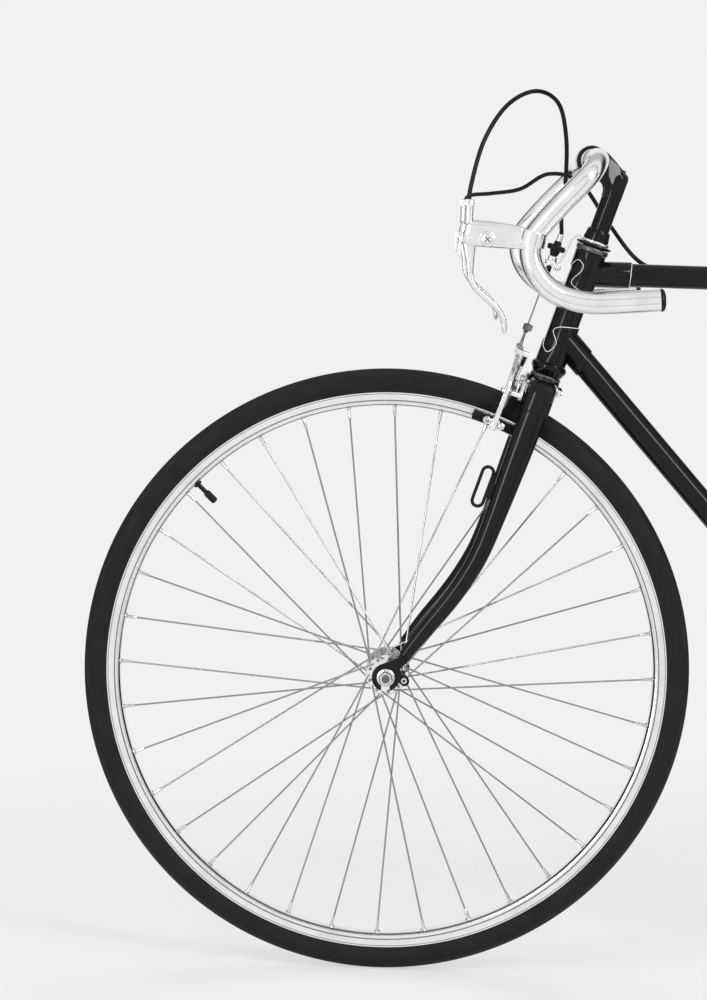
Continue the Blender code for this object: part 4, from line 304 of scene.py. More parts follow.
ENAMEL = paint()
ALLOY = metal("polished_alloy", (0.93, 0.93, 0.94), 0.10, 0.20, bump=0.015)
STEEL = metal("stainless_steel", (0.34, 0.34, 0.35), 0.24, 0.38)
PLATED = metal("plated_steel", (0.78, 0.78, 0.79), 0.12, 0.24, bump=0.02)
DARK = metal("oiled_steel", (0.16, 0.155, 0.15), 0.28, 0.46, tint=0.6)
PEDAL = metal("pedal_steel", (0.50, 0.50, 0.51), 0.22, 0.38, tint=0.7)
FRONT_RIM = rim_metal(FRONT_AXLE, "front_rim_alloy")
REAR_RIM = rim_metal(REAR_AXLE, "rear_rim_alloy")
RUBBER = tyre_rubber()
HIDE = leather()
HOUSING = plastic("housing_black", (0.0035, 0.0035, 0.0035), 0.28, gloss=0.22)
PAD_RUBBER = plastic("pad_black", (0.004, 0.004, 0.004), 0.66, gloss=0.2)
LINING = plastic("lining_white", (0.72, 0.71, 0.66), 0.45)
BRASS = metal("nipple_brass", (0.72, 0.70, 0.66), 0.18, 0.3)

# Grey for the stem's sunk teardrops: painted sheen on the black paint, where those faces catch the light
PAINTED_RECESS_SHEEN = plastic("recess_painted_sheen", (0.24, 0.24, 0.24), 0.5)

# The look of each of the record's slots, and then the slot of each new piece's material
SLOT_LOOKS = {"black_paint": ENAMEL, "polished_alloy": ALLOY, "bright_steel": PLATED, "dark_steel": DARK,
              "tyre_rubber": RUBBER, "housing_plastic": HOUSING, "saddle_leather": HIDE,
              "pedal_steel": PEDAL}
FINISH_SLOTS = {material.name: slot for slot, material in SLOT_LOOKS.items()}
for slot, materials in (("black_paint", (LINING, PAINTED_RECESS_SHEEN)), ("polished_alloy", (FRONT_RIM, REAR_RIM)),
                        ("bright_steel", (STEEL, BRASS)), ("housing_plastic", (PAD_RUBBER,))):
    FINISH_SLOTS.update({material.name: slot for material in materials})
slots = {entry["node"]: entry["material_slot"] for entry in frame["record"]["subparts"]}
for node_name, node in frame["nodes"].items():
    for material_slot in node.material_slots:
        material_slot.material = SLOT_LOOKS[slots[node_name]]


# Shaping: primitives are added in edit mode and worked there

def new_piece():
    """Opens an empty piece at the origin in edit mode."""
    if bpy.context.mode != "OBJECT":
        bpy.ops.object.mode_set(mode="OBJECT")
    thing = bpy.data.objects.new("piece", bpy.data.meshes.new("piece"))
    bpy.context.scene.collection.objects.link(thing)
    bpy.ops.object.select_all(action="DESELECT")
    bpy.context.view_layer.objects.active = thing
    thing.select_set(True)
    bpy.ops.object.mode_set(mode="EDIT")
    return thing


def close_piece():
    """Merges doubled points, turns all faces outwards and leaves edit mode."""
    bpy.ops.mesh.select_all(action="SELECT")
    bpy.ops.mesh.remove_doubles(threshold=MERGE)
    bpy.ops.mesh.normals_make_consistent(inside=False)
    bpy.ops.object.mode_set(mode="OBJECT")
    return bpy.context.view_layer.objects.active


def finish(name, body, material, stands_for=(), sharp=35, bevel=0.0, segments=2):
    """Closes the open piece, rounds its edges, shades it smooth and lets it ride on its body."""
    thing = close_piece()
    thing.name = name
    thing.data.name = name
    if bevel:
        rounding = thing.modifiers.new("edges", "BEVEL")
        rounding.width = bevel
        rounding.segments = segments
        rounding.limit_method = "ANGLE"
        rounding.angle_limit = math.radians(sharp)
        bpy.ops.object.modifier_apply(modifier="edges")
    thing.data.materials.append(material)
    bpy.ops.object.shade_smooth_by_angle(angle=math.radians(sharp))
    if body:
        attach(thing, body)
    if stands_for:
        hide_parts(*stands_for)
    return thing


def carve(thing, cutter):
    """Cuts one finished form with another."""
    bpy.ops.object.select_all(action="DESELECT")
    bpy.context.view_layer.objects.active = thing
    thing.select_set(True)
    tool = thing.modifiers.new("carve", "BOOLEAN")
    tool.operation = "DIFFERENCE"
    tool.solver = "EXACT"
    tool.object = cutter
    bpy.ops.object.modifier_apply(modifier="carve")
    bpy.data.objects.remove(cutter)
    return thing


def facing(direction, side=None):
    """Axes whose third runs along the direction and whose second lies as near to side as it can."""
    ahead = Vector(direction).normalized()
    if side is None:
        across = ahead.orthogonal().normalized()
    else:
        across = (Vector(side) - ahead * ahead.dot(Vector(side))).normalized()
    return Matrix((across.cross(ahead), across, ahead)).transposed()


def add_rod(start, end, radius, end_radius=None, sides=32, round_ends=0.0):
    """A cylinder or cone between two points, its end edges bevelled."""
    start, end = Vector(start), Vector(end)
    bpy.ops.mesh.primitive_cone_add(vertices=sides, radius1=radius,
                                    radius2=radius if end_radius is None else end_radius,
                                    depth=(end - start).length, location=(start + end) / 2,
                                    rotation=facing(end - start).to_euler())
    if round_ends:
        mesh = bmesh.from_edit_mesh(bpy.context.edit_object.data)
        rims = {edge for face in mesh.faces if face.select and len(face.verts) == sides
                for edge in face.edges}
        bpy.ops.mesh.select_all(action="DESELECT")
        for edge in rims:
            edge.select = True
        bpy.ops.mesh.bevel(offset=round_ends, segments=2)


def add_ball(centre, radius, squash=(1, 1, 1)):
    """A ball, or one squashed along the axes."""
    bpy.ops.mesh.primitive_uv_sphere_add(segments=20, ring_count=12, radius=radius, location=centre)
    bpy.ops.transform.resize(value=squash, center_override=Vector(centre))


def stretch_along(axes, shares, centre):
    """Stretches what is selected along the given axes."""
    bpy.ops.transform.resize(value=shares, orient_type="GLOBAL", orient_matrix=axes,
                             orient_matrix_type="GLOBAL", center_override=centre)


def add_block(centre, axes, size):
    bpy.ops.mesh.primitive_cube_add(size=1, location=centre, rotation=axes.to_euler())
    stretch_along(axes, size, Vector(centre))


def carry_ring(step, turn, centre, axes, stretch):
    """Extrudes the selected ring by a step, turns it, and stretches it along its own axes."""
    bpy.ops.mesh.extrude_region_move(TRANSFORM_OT_translate={"value": step})
    for axis, angle in zip("XYZ", turn.to_euler()):
        if abs(angle) > SMALL_TURN:
            bpy.ops.transform.rotate(value=-angle, orient_axis=axis, orient_type="GLOBAL",
                                     center_override=centre)
    if any(abs(share - 1) > SMALL_TURN for share in stretch):
        stretch_along(axes, (*stretch, 1), centre)


def add_bar(stations, side=None, sides=24, squareness=1.0):
    """A bar extruded through (centre, half depth, half thickness) stations; its thickness lies along side.

    Its section is an ellipse, or below a squareness of 1 a plate with bevelled corners.
    """
    centres = [Vector(station[0]) for station in stations]
    last = len(centres) - 1
    headings = [(centres[min(i + 1, last)] - centres[max(i - 1, 0)]).normalized() for i in range(last + 1)]
    axes = facing(headings[0], side)
    _, depth, thickness = stations[0]
    if squareness < 1:
        bpy.ops.mesh.primitive_plane_add(size=2, location=centres[0], rotation=axes.to_euler())
    else:
        bpy.ops.mesh.primitive_circle_add(vertices=sides, radius=1, fill_type="NGON", location=centres[0],
                                          rotation=axes.to_euler())
    stretch_along(axes, (depth, thickness, 1), centres[0])
    if squareness < 1:
        bpy.ops.mesh.bevel(offset=squareness * min(depth, thickness), segments=5, affect="VERTICES")
    for index in range(1, last + 1):
        if side is None:
            following = headings[index - 1].rotation_difference(headings[index]).to_matrix() @ axes
        else:
            following = facing(headings[index], side)
        _, new_depth, new_thickness = stations[index]
        carry_ring(centres[index] - centres[index - 1], following @ axes.transposed(), centres[index],
                   following, (new_depth / depth, new_thickness / thickness))
        axes, depth, thickness = following, new_depth, new_thickness


def add_tube(points, radius, sides=16):
    """A round bar along points; the radius may be a list."""
    radii = radius if isinstance(radius, (list, tuple)) else [radius] * len(points)
    add_bar([(point, size, size) for point, size in zip(points, radii)], None, sides)


def draw(points):
    """A line extruded from a single point through the following ones, left selected."""
    points = [Vector(point) for point in points]
    bpy.ops.mesh.primitive_plane_add(size=0.001, location=points[0])
    bpy.ops.mesh.merge(type="CENTER")
    for here, there in zip(points, points[1:]):
        bpy.ops.mesh.extrude_region_move(TRANSFORM_OT_translate={"value": there - here})
    mesh = bmesh.from_edit_mesh(bpy.context.edit_object.data)
    mesh.verts.ensure_lookup_table()
    for vertex in mesh.verts[len(mesh.verts) - len(points):]:
        vertex.select_set(True)
    mesh.select_flush(True)


def add_turned(profile, base, direction, steps=48, closed=True):
    """A turned form: its (radius, height) outline is drawn and spun about its axis."""
    axes = facing(direction)
    outline = list(profile) + list(profile[:1] if closed else ())
    draw([Vector(base) + axes @ Vector((radius, 0, height)) for radius, height in outline])
    bpy.ops.mesh.spin(steps=steps, angle=math.tau, center=Vector(base), axis=axes.col[2],
                      use_auto_merge=True)


def add_plate(outline, thickness, placement):
    """A flat plate: its outline is drawn, filled and extruded, centred on its own middle plane."""
    draw([placement @ Vector((x, y, -thickness / 2)) for x, y in outline])
    bpy.ops.mesh.edge_face_add()
    step = placement.to_3x3() @ Vector((0, 0, thickness))
    bpy.ops.mesh.extrude_region_move(TRANSFORM_OT_translate={"value": step})


def add_bolt(centre, direction, radius, height, sides=6):
    """A bolt head or nut: a prism whose top is inset and pushed up into a chamfer."""
    centre, ahead = Vector(centre), Vector(direction).normalized()
    bpy.ops.mesh.primitive_circle_add(vertices=sides, radius=radius, fill_type="NGON", location=centre,
                                      rotation=facing(ahead).to_euler())
    bpy.ops.mesh.extrude_region_move(TRANSFORM_OT_translate={"value": ahead * height * 0.8})
    bpy.ops.mesh.extrude_region_move(TRANSFORM_OT_translate={"value": ahead * height * 0.2})
    bpy.ops.transform.resize(value=(0.86, 0.86, 0.86), center_override=centre + ahead * height)


def repeat_round(centre, axis, count, share=1.0):
    """Copies what is selected round an axis, count in all over a share of the full turn."""
    bpy.ops.mesh.spin(steps=count - 1, dupli=True, angle=math.tau * share * (count - 1) / count,
                      center=Vector(centre), axis=Vector(axis))


def select_from(first):
    """Selects the points that were made after the first given number of them."""
    mesh = bmesh.from_edit_mesh(bpy.context.edit_object.data)
    bpy.ops.mesh.select_all(action="DESELECT")
    mesh.verts.ensure_lookup_table()
    for vertex in mesh.verts[first:]:
        vertex.select_set(True)
    mesh.select_flush(True)


def point_count():
    """How many points the open piece has."""
    return len(bmesh.from_edit_mesh(bpy.context.edit_object.data).verts)


def skin(rings):
    """Lays faces between rings of points, for a padded form that no operator gives."""
    data = bpy.context.edit_object.data
    mesh = bmesh.from_edit_mesh(data)
    loops = [[mesh.verts.new(point) for point in ring] for ring in rings]
    for lower, upper in zip(loops, loops[1:]):
        for index, point in enumerate(lower):
            following = (index + 1) % len(lower)
            mesh.faces.new((point, lower[following], upper[following], upper[index]))
    mesh.faces.new(loops[0])
    mesh.faces.new(loops[-1])
    bmesh.update_edit_mesh(data)


def smooth_route(points, steps):
    """Points along a smooth curve through the given ones; extra numbers, such as a radius, run along."""
    points = [tuple(point) for point in points]
    first = tuple(2 * a - b for a, b in zip(points[0], points[1]))
    last = tuple(2 * a - b for a, b in zip(points[-1], points[-2]))
    ends = [first] + points + [last]
    route = []
    for before, start, end, after in zip(ends, ends[1:], ends[2:], ends[3:]):
        for step in range(steps):
            t = step / steps
            route.append(tuple(0.5 * (2 * b + (c - a) * t + (2 * a - 5 * b + 4 * c - d) * t ** 2
                                      + (3 * b - a - 3 * c + d) * t ** 3) for a, b, c,
                               d in zip(before, start, end, after)))
    return route + [points[-1]]


def fine_stations(stations, steps):
    """Stations of a bar, evenly thickened out along a smooth curve."""
    flat = [(*place, depth, thickness) for place, depth, thickness in stations]
    return [((x, y, z), depth, thickness) for x, y, z, depth, thickness in smooth_route(flat, steps)]


def circle(centre, radius, sides, start, end):
    """Points of an arc, its ends in degrees."""
    angles = [math.radians(start + (end - start) * step / (sides - 1)) for step in range(sides)]
    return [(centre[0] + radius * math.cos(angle), centre[1] + radius * math.sin(angle))
            for angle in angles]


def out_at(angle):
    """The direction at an angle in the side view, from straight back and turning up."""
    return Vector((math.cos(angle), 0, math.sin(angle)))


def placement(x_axis, y_axis, z_axis, origin):
    rows = [Vector((*axis, 0)) for axis in (x_axis, y_axis, z_axis)] + [Vector((*origin, 1))]
    return Matrix(rows).transposed()


def side_view(y):
    """A placement whose X runs back and whose Y runs up, at a distance to the side."""
    return Matrix(((1, 0, 0, 0), (0, 0, -1, y), (0, 1, 0, 0), (0, 0, 0, 1)))


def steering_view(side):
    """A placement whose X runs back from the steering axis and whose Y runs up it."""
    return placement(STEER_BACK, STEER_UP, -RIGHT, STEER_FOOT + RIGHT * side)


def steering_block(along, across, side, size):
    """A block set square to the steering axis: its size runs back, right and up."""
    add_block(steer(along, across, side), Matrix((STEER_BACK, RIGHT, STEER_UP)).transposed(), size)


# Wheels

def lay_tread_map(thing, axle):
    """A map that runs once round the tyre, and from one bead over the tread to the other."""
    mesh = thing.data
    layer = mesh.uv_layers.new(name="wrap")
    for polygon in mesh.polygons:
        offset = polygon.center - axle
        middle = math.atan2(offset.z, offset.x)
        for loop in polygon.loop_indices:
            place = mesh.vertices[mesh.loops[loop].vertex_index].co - axle
            angle = math.atan2(place.z, place.x)
            angle += math.tau * round((middle - angle) / math.tau)
            height = math.hypot(place.x, place.z) - (AXLE_HEIGHT - TYRE_SECTION)
            section = math.degrees(math.atan2(place.y, height))
            layer.data[loop].uv = (angle / math.tau, 0.5 + section * 0.00388)


def tyre(end, axle, body):
    """A turned tyre whose tread has fine grooves."""
    section = []
    for step in range(45):
        angle = math.radians(-118 + 236 * step / 44)
        groove = 0.0008 if abs(angle) < math.radians(42) and step % 4 == 2 else 0.0
        radius = AXLE_HEIGHT - TYRE_SECTION + TYRE_SECTION * math.cos(angle) - groove
        section.append((radius, 0.0157 * math.sin(angle)))
    new_piece()
    add_turned([(0.3112, -0.0090), (0.3184, -0.0122)] + section + [(0.3184, 0.0122), (0.3112, 0.0090)],
               axle, RIGHT, WHEEL_STEPS)
    thing = finish(end + "_tyre_fine", body, RUBBER, (end + "_tyre",), 60)
    lay_tread_map(thing, axle)


def rim(end, axle, body, material):
    """A box rim turned from one half of its section and that half mirrored."""
    half = [(0.3116, 0.0088), (0.3172, 0.0103), (0.3186, 0.0112), (0.3189, 0.0124), (0.3185, 0.0132),
            (0.3176, 0.0132), (0.3092, 0.0129), (0.3086, 0.0122), (0.3076, 0.0121), (0.3058, 0.0113),
            (0.3042, 0.0092), (0.3033, 0.0060), (RIM_INNER, 0.0024)]
    new_piece()
    add_turned(half[::-1] + [(radius, -y) for radius, y in half], axle, RIGHT, WHEEL_STEPS)
    finish(end + "_rim_fine", body, material, (end + "_rim",), 28)


def spoke_line(axle, side, leading, flange_offset):
    """Head, bend and end of one spoke, with the way that it runs and its place on the rim."""
    hub_angle = SPOKE_PITCH / 2 if side > 0 else 0.0
    if leading > 0:
        hub_angle += SPOKE_PITCH
    rim_angle = hub_angle + leading * 3 * SPOKE_PITCH
    out_rim = out_at(rim_angle)
    hole = axle + out_at(hub_angle) * FLANGE_RADIUS
    bend = hole + RIGHT * side * (flange_offset + leading * 0.0028)
    target = axle + out_rim * (RIM_INNER - 0.0105) + RIGHT * side * 0.0016
    return hole, bend, target, (target - bend).normalized(), out_rim


def spokes(end, axle, body, flange_offset):
    """One spoke of each of the four kinds, repeated eight more times round its flange."""
    new_piece()
    for side in (-1, 1):
        for leading in (-1, 1):
            hole, bend, target, along, _ = spoke_line(axle, side, leading, flange_offset)
            head = hole + RIGHT * side * (flange_offset - leading * 0.0032)
            first = point_count()
            add_tube([head, hole + RIGHT * side * (flange_offset + leading * 0.0015), bend + along * 0.0014,
                      bend + along * 0.006, target], SPOKE_RADIUS, 8)
            add_bolt(head, -RIGHT * side * leading, 0.0018, 0.0012, 10)
            select_from(first)
            repeat_round(axle, RIGHT, 9)
    finish(end + "_spokes", body, STEEL, (end + "_hub",), 40)
    new_piece()
    for side in (-1, 1):
        for leading in (-1, 1):
            _, _, target, along, out = spoke_line(axle, side, leading, flange_offset)
            seat = axle + out * (RIM_INNER + 0.0008) + RIGHT * side * 0.0012
            washer = [(0.0021, 0.0002), (0.0036, 0.0001), (0.0036, 0.0008), (0.0030, 0.0013),
                      (0.0021, 0.0013)]
            first = point_count()
            add_tube([target - along * 0.0010, target + along * 0.0004, target + along * 0.0080, seat],
                     [0.0014, 0.0017, 0.0019, 0.0020], 8)
            add_turned(washer, axle + out * (RIM_INNER + 0.0006) + RIGHT * side * 0.0012, -out, 12)
            select_from(first)
            repeat_round(axle, RIGHT, 9)
    finish(end + "_nipples", body, BRASS, (), 40)


def hub_shell(end, axle, body, flange_offset, drive):
    """A turned hub with two flanges; on the drive side a boss for the freewheel."""
    edge = flange_offset + 0.0016
    flange = [(0.0118, edge + 0.0010), (0.0150, edge), (0.0222, edge), (0.0228, edge - 0.0006),
              (0.0228, edge - 0.0026), (0.0222, edge - 0.0032), (0.0150, edge - 0.0034),
              (0.0125, edge - 0.0060), (0.0112, edge - 0.0120), (0.0100, 0.010), (0.0098, 0.0)]
    cap = [(0.0060, edge + 0.0075), (0.0092, edge + 0.0075), (0.0115, edge + 0.0052)]
    boss = [(0.0060, 0.0500), (0.0168, 0.0500), (0.0168, edge + 0.0006), (0.0205, edge)]
    right = boss + flange[2:] if drive else cap + flange
    left = [(radius, -height) for radius, height in cap + flange[:-1]]
    new_piece()
    add_turned(right + left[::-1], axle, RIGHT, 64)
    finish(end + "_hub_shell", body, ALLOY, (), 30)


def valve(end, axle, body):
    """A capped valve stem with its grommet."""
    angle = VALVE_ANGLE
    out = out_at(angle)
    new_piece()
    stem_profile = [(0, 0.0), (0.0026, 0.0), (0.0026, 0.0145), (0.0036, 0.0150), (0.0041, 0.0175),
                    (0.0041, 0.0270), (0.0037, 0.0292), (0.0022, 0.0304), (0, 0.0306)]
    add_turned(stem_profile, axle + out * (RIM_INNER + 0.001), -out, 24, False)
    add_turned([(0.0027, 0.0), (0.0050, 0.0), (0.0050, 0.0018), (0.0042, 0.0026), (0.0027, 0.0026)],
               axle + out * RIM_INNER, -out, 24)
    finish(end + "_valve", body, HOUSING, (), 40)


def wheel(end, axle, body, flange_offset, rim_material, drive=False):
    """A whole wheel on its body."""
    tyre(end, axle, body)
    rim(end, axle, body, rim_material)
    spokes(end, axle, body, flange_offset)
    hub_shell(end, axle, body, flange_offset, drive)
    valve(end, axle, body)


wheel("front", FRONT_AXLE, "front_wheel", 0.034, FRONT_RIM)
wheel("rear", REAR_AXLE, "rear_wheel", 0.031, REAR_RIM, True)


def axle_set(end, axle, body, inside, stands_for):
    """Cones, axle, washers and domed nuts, and dark axle ends of painted shade."""
    new_piece()
    plate_end = inside + 0.0045
    add_rod(axle - RIGHT * (plate_end + 0.0145), axle + RIGHT * (plate_end + 0.0145), 0.0043, sides=24)
    for side in (-1, 1):
        out = RIGHT * side
        add_turned([(0.0044, inside - 0.0008), (0.0084, inside - 0.0008), (0.0084, inside - 0.0050),
                    (0.0070, inside - 0.0056), (0.0056, inside - 0.0088), (0.0044, inside - 0.0088)], axle,
                   out, 32)
        add_turned([(0.0046, plate_end + 0.0003), (0.0100, plate_end + 0.0003),
                    (0.0100, plate_end + 0.0017), (0.0094, plate_end + 0.0021),
                    (0.0046, plate_end + 0.0021)], axle, out, 40)
        add_bolt(axle + out * (plate_end + 0.0020), out, 0.0084, 0.0078, 6)
    finish(end + "_axle_fine", body, PLATED, stands_for, 35)
    # Dark domes on the axle's ends: painted shade where the ends lie in shadow
    new_piece()
    for side in (-1, 1):
        add_turned([(0, plate_end + 0.0152), (0.0036, plate_end + 0.0150), (0.0046, plate_end + 0.0140),
                    (0.0046, plate_end + 0.0092), (0, plate_end + 0.0092)], axle, RIGHT * side, 24, False)
    finish(end + "_axle_end_shade", body, DARK, (), 35)


axle_set("front", FRONT_AXLE, "fork", 0.050, ("front_axle",))
axle_set("rear", REAR_AXLE, "frame", 0.060, ("rear_axle",))


# Fork and head

BLADE_LINE = [(0.3490, 0.0, 0.0147, 0.0090), (0.290, 0.0, 0.0147, 0.0090), (0.240, -0.0005, 0.0135, 0.0086),
              (0.190, -0.0010, 0.0117, 0.0084), (0.148, -0.0030, 0.0108, 0.0082),
              (0.113, -0.0095, 0.0103, 0.0080), (0.082, -0.0185, 0.0099, 0.0077),
              (0.045, -0.0320, 0.0090, 0.0072), (0.012, -0.0432, 0.0070, 0.0062)]


def blade_side(along):
    """How far a fork blade stands to the side, from tip to crown."""
    return FORK_END_SIDE + (CROWN_SIDE - FORK_END_SIDE) * (along - 0.012) / 0.335


def blade(side, name):
    """A tapered blade with its slotted tip; the left one carries the lamp bracket."""
    new_piece()
    line = [(tuple(steer(a, b, side * blade_side(a))), d, t) for a, b, d, t in BLADE_LINE]
    add_bar(fine_stations(line, 6), RIGHT, 32)
    x, z = FRONT_AXLE.x, FRONT_AXLE.z
    neck = steer(0.012, -0.0432)
    y = side * FORK_END_SIDE
    ring = 0.0158
    outline = circle((x, z), ring, 10, -70, -20)
    outline += [(x + 0.0200, z - 0.0092), (x + 0.0235, z - 0.0090), (x + 0.0262, z - 0.0064),
                (x + 0.0268, z - 0.0030), (x + 0.0254, z + 0.0006), (x + 0.0225, z + 0.0034),
                (x + 0.0180, z + 0.0052), (x + 0.0158, z + 0.0100)]
    outline += [(neck.x + 0.0085, neck.z - 0.001), (neck.x + 0.0050, neck.z + 0.008),
                (neck.x - 0.0020, neck.z + 0.008), (neck.x - 0.0075, neck.z - 0.002)]
    outline += circle((x, z), ring, 18, 105, 249)
    outline += [(x - 0.0047, z - ring + 0.0008), (x - 0.0047, z)]
    outline += circle((x, z), 0.0047, 9, 150, 30)
    outline += [(x + 0.0047, z), (x + 0.0047, z - ring + 0.0008)]
    add_plate(outline, 0.0044, side_view(y))
    if side < 0:
        bracket = steering_view(-blade_side(0.221))
        bracket.translation = steer(0.221, -0.0255, -blade_side(0.221))
        loop = circle((0, 0.0168), 0.0063, 12, 0, 180) + circle((0, -0.0168), 0.0063, 12, 180, 360)
        add_bar([(bracket @ Vector((x, y, 0)), 0.0019, 0.0018) for x, y in loop + loop[:2]], RIGHT,
                squareness=0.5)
        steering_block(0.2190, -0.0150, -blade_side(0.219), (0.0070, 0.0034, 0.0180))
    finish(name + "_blade_fine", "fork", ENAMEL, (name + "_fork_blade",), 40, 0.0004)
    new_piece()
    add_turned([(0.0016, 0.0010), (0.0034, 0.0010), (0.0034, 0.0030), (0.0028, 0.0036), (0.0016, 0.0036)],
               Vector((x + 0.0206, y, z - 0.0028)), RIGHT * side, 24)
    finish(name + "_eyelet_lining", "fork", PLATED, (), 35)


def crown():
    """The crown with its sockets, and the steerer."""
    new_piece()
    half = [(0.0290, 0.3426, 0.0126, 0.0160), (0.0375, 0.3405, 0.0108, 0.0152),
            (0.0408, 0.3392, 0.0088, 0.0138)]
    rows = [(-s, a, h, d) for s, a, h, d in half[::-1]] + [(0.0, 0.3440, 0.0135, 0.0163)] + half
    stations = fine_stations([((s, a, 0.0), h, d) for s, a, h, d in rows], 5)
    add_bar([(steer(a, 0, s), h, d) for (s, a, _), h, d in stations], STEER_BACK, 32, 0.62)
    for side in (-1, 1):
        ends = [(0.3480, 0.0010), (0.3440, 0.0017), (0.3320, 0.0017), (0.3200, 0.0016), (0.3176, 0.0014),
                (0.3170, 0.0008)]
        add_bar([(steer(a, 0, side * blade_side(a)), 0.0147 + e, 0.0090 + e) for a, e in ends], RIGHT, 32)
    add_turned([(0, 0.3590), (0.0125, 0.3590), (0.0160, 0.3586), (0.0176, 0.3570), (0.0180, 0.3540),
                (0.0178, 0.3500), (0.0150, 0.3470), (0, 0.3470)], STEER_FOOT, STEER_UP, 48, False)
    add_turned([(0.0114, 0.3550), (0.0127, 0.3550), (0.0127, 0.5310), (0.0114, 0.5310)], STEER_FOOT,
               STEER_UP, 48)
    finish("crown_fine", "fork", ENAMEL, ("fork_crown",), 40, 0.0006)


for fork_side, fork_name in SIDES:
    blade(fork_side, fork_name)
crown()


def headset():
    """The turned rings round the steering axis."""
    lower_cup = [(0.0136, 0.3612), (0.0163, 0.3611), (0.0170, 0.3622), (0.0184, 0.3652), (0.0196, 0.3672),
                 (0.0203, 0.3688), (0.0204, 0.3712), (0.0200, 0.3728), (0.0189, 0.3736), (0.0186, 0.3747),
                 (0.0136, 0.3747)]
    upper_cup = [(0.0136, 0.5072), (0.0172, 0.5072), (0.0182, 0.5080), (0.0187, 0.5096), (0.0187, 0.5122),
                 (0.0182, 0.5131), (0.0136, 0.5133)]
    flange = [(0.0130, 0.5137), (0.0172, 0.5137), (0.0190, 0.5143), (0.0201, 0.5152), (0.0206, 0.5160),
              (0.0204, 0.5170), (0.0190, 0.5174), (0.0176, 0.5176), (0.0130, 0.5176)]
    locknut = [(0.0112, 0.5338), (0.0118, 0.5342), (0.0128, 0.5336), (0.0134, 0.5318), (0.0138, 0.5290),
               (0.0141, 0.5262), (0.0145, 0.5258), (0.0147, 0.5240), (0.0147, 0.5212), (0.0130, 0.5212),
               (0.0112, 0.5230)]
    crown_race = [(0.0165, 0.3565), (0.0176, 0.3572), (0.0180, 0.3592), (0.0172, 0.3606), (0.0132, 0.3608),
                  (0.0132, 0.3565)]
    for name, body, material, stands_for, profile in (
            ("crown_race", "fork", DARK, (), crown_race),
            ("lower_cup_fine", "frame", ENAMEL, ("lower_head_cup",), lower_cup),
            ("upper_cup_fine", "frame", DARK, ("upper_head_cup",), upper_cup),
            ("dust_flange", "fork", ENAMEL, ("headset_race",), flange),
            ("locknut_fine", "fork", ENAMEL, ("headset_locknut",), locknut)):
        new_piece()
        add_turned(profile, STEER_FOOT, STEER_UP, 64)
        finish(name, body, material, stands_for, 30)


def cable_hanger():
    """The washer, the bent strip and the barrel that the front housing ends in."""
    new_piece()
    add_turned([(0.0131, 0.5180), (0.0166, 0.5180), (0.0169, 0.5184), (0.0169, 0.5205), (0.0165, 0.5209),
                (0.0131, 0.5209)], STEER_FOOT, STEER_UP, 64)
    strip = [(0.5195, -0.0150), (0.5208, -0.0190), (0.5190, -0.0228), (0.5120, -0.0262), (0.4980, -0.0275),
             (0.4870, -0.0297), (0.4815, -0.0345), (0.4800, -0.0372)]
    route = smooth_route([(*steer(a, b), 0.0014) for a, b in strip], 4)
    last = len(route) - 1
    add_bar([((x, y, z), d, 0.0084 - 0.0032 * index / last)
             for index, (x, y, z, d) in enumerate(route)], RIGHT, 20, 0.35)
    add_turned([(0.0016, 0.0146), (0.0050, 0.0146), (0.0055, 0.0141), (0.0055, 0.0104), (0.0050, 0.0098),
                (0.0072, 0.0094), (0.0075, 0.0088), (0.0075, 0.0052), (0.0070, 0.0046), (0.0016, 0.0046)],
               steer(BARREL_FOOT, WIRE_ACROSS), STEER_UP, 40)
    add_bolt(steer(0.4790, -0.0312, -0.0052), -RIGHT, 0.0046, 0.0030, 20)
    finish("hanger_fine", "fork", ALLOY, ("cable_hanger",), 35, 0.0002)


def adjusting_disc():
    """The black knurled disc on its threaded barrel."""
    new_piece()
    add_turned([(0.0026, 0.0330), (0.0040, 0.0326), (0.0046, 0.0286), (0.0094, 0.0280), (0.0098, 0.0274),
                (0.0098, 0.0226), (0.0094, 0.0220), (0.0060, 0.0214), (0.0042, 0.0156), (0.0026, 0.0150)],
               steer(BARREL_FOOT, WIRE_ACROSS), STEER_UP, 48)
    first = point_count()
    add_rod(steer(0.4968, WIRE_ACROSS - 0.0097), steer(0.5012, WIRE_ACROSS - 0.0097), 0.0006, sides=6)
    select_from(first)
    repeat_round(steer(0.499, WIRE_ACROSS), STEER_UP, 30)
    add_turned([(0.0010, 0.0040), (0.0030, 0.0036), (0.0032, 0.0), (0.0030, -0.0066), (0.0022, -0.0078),
                (0.0010, -0.0080)], steer(BARREL_FOOT, WIRE_ACROSS), STEER_UP, 32)
    finish("adjusting_disc", "fork", HOUSING, (), 35)


headset()
cable_hanger()
adjusting_disc()


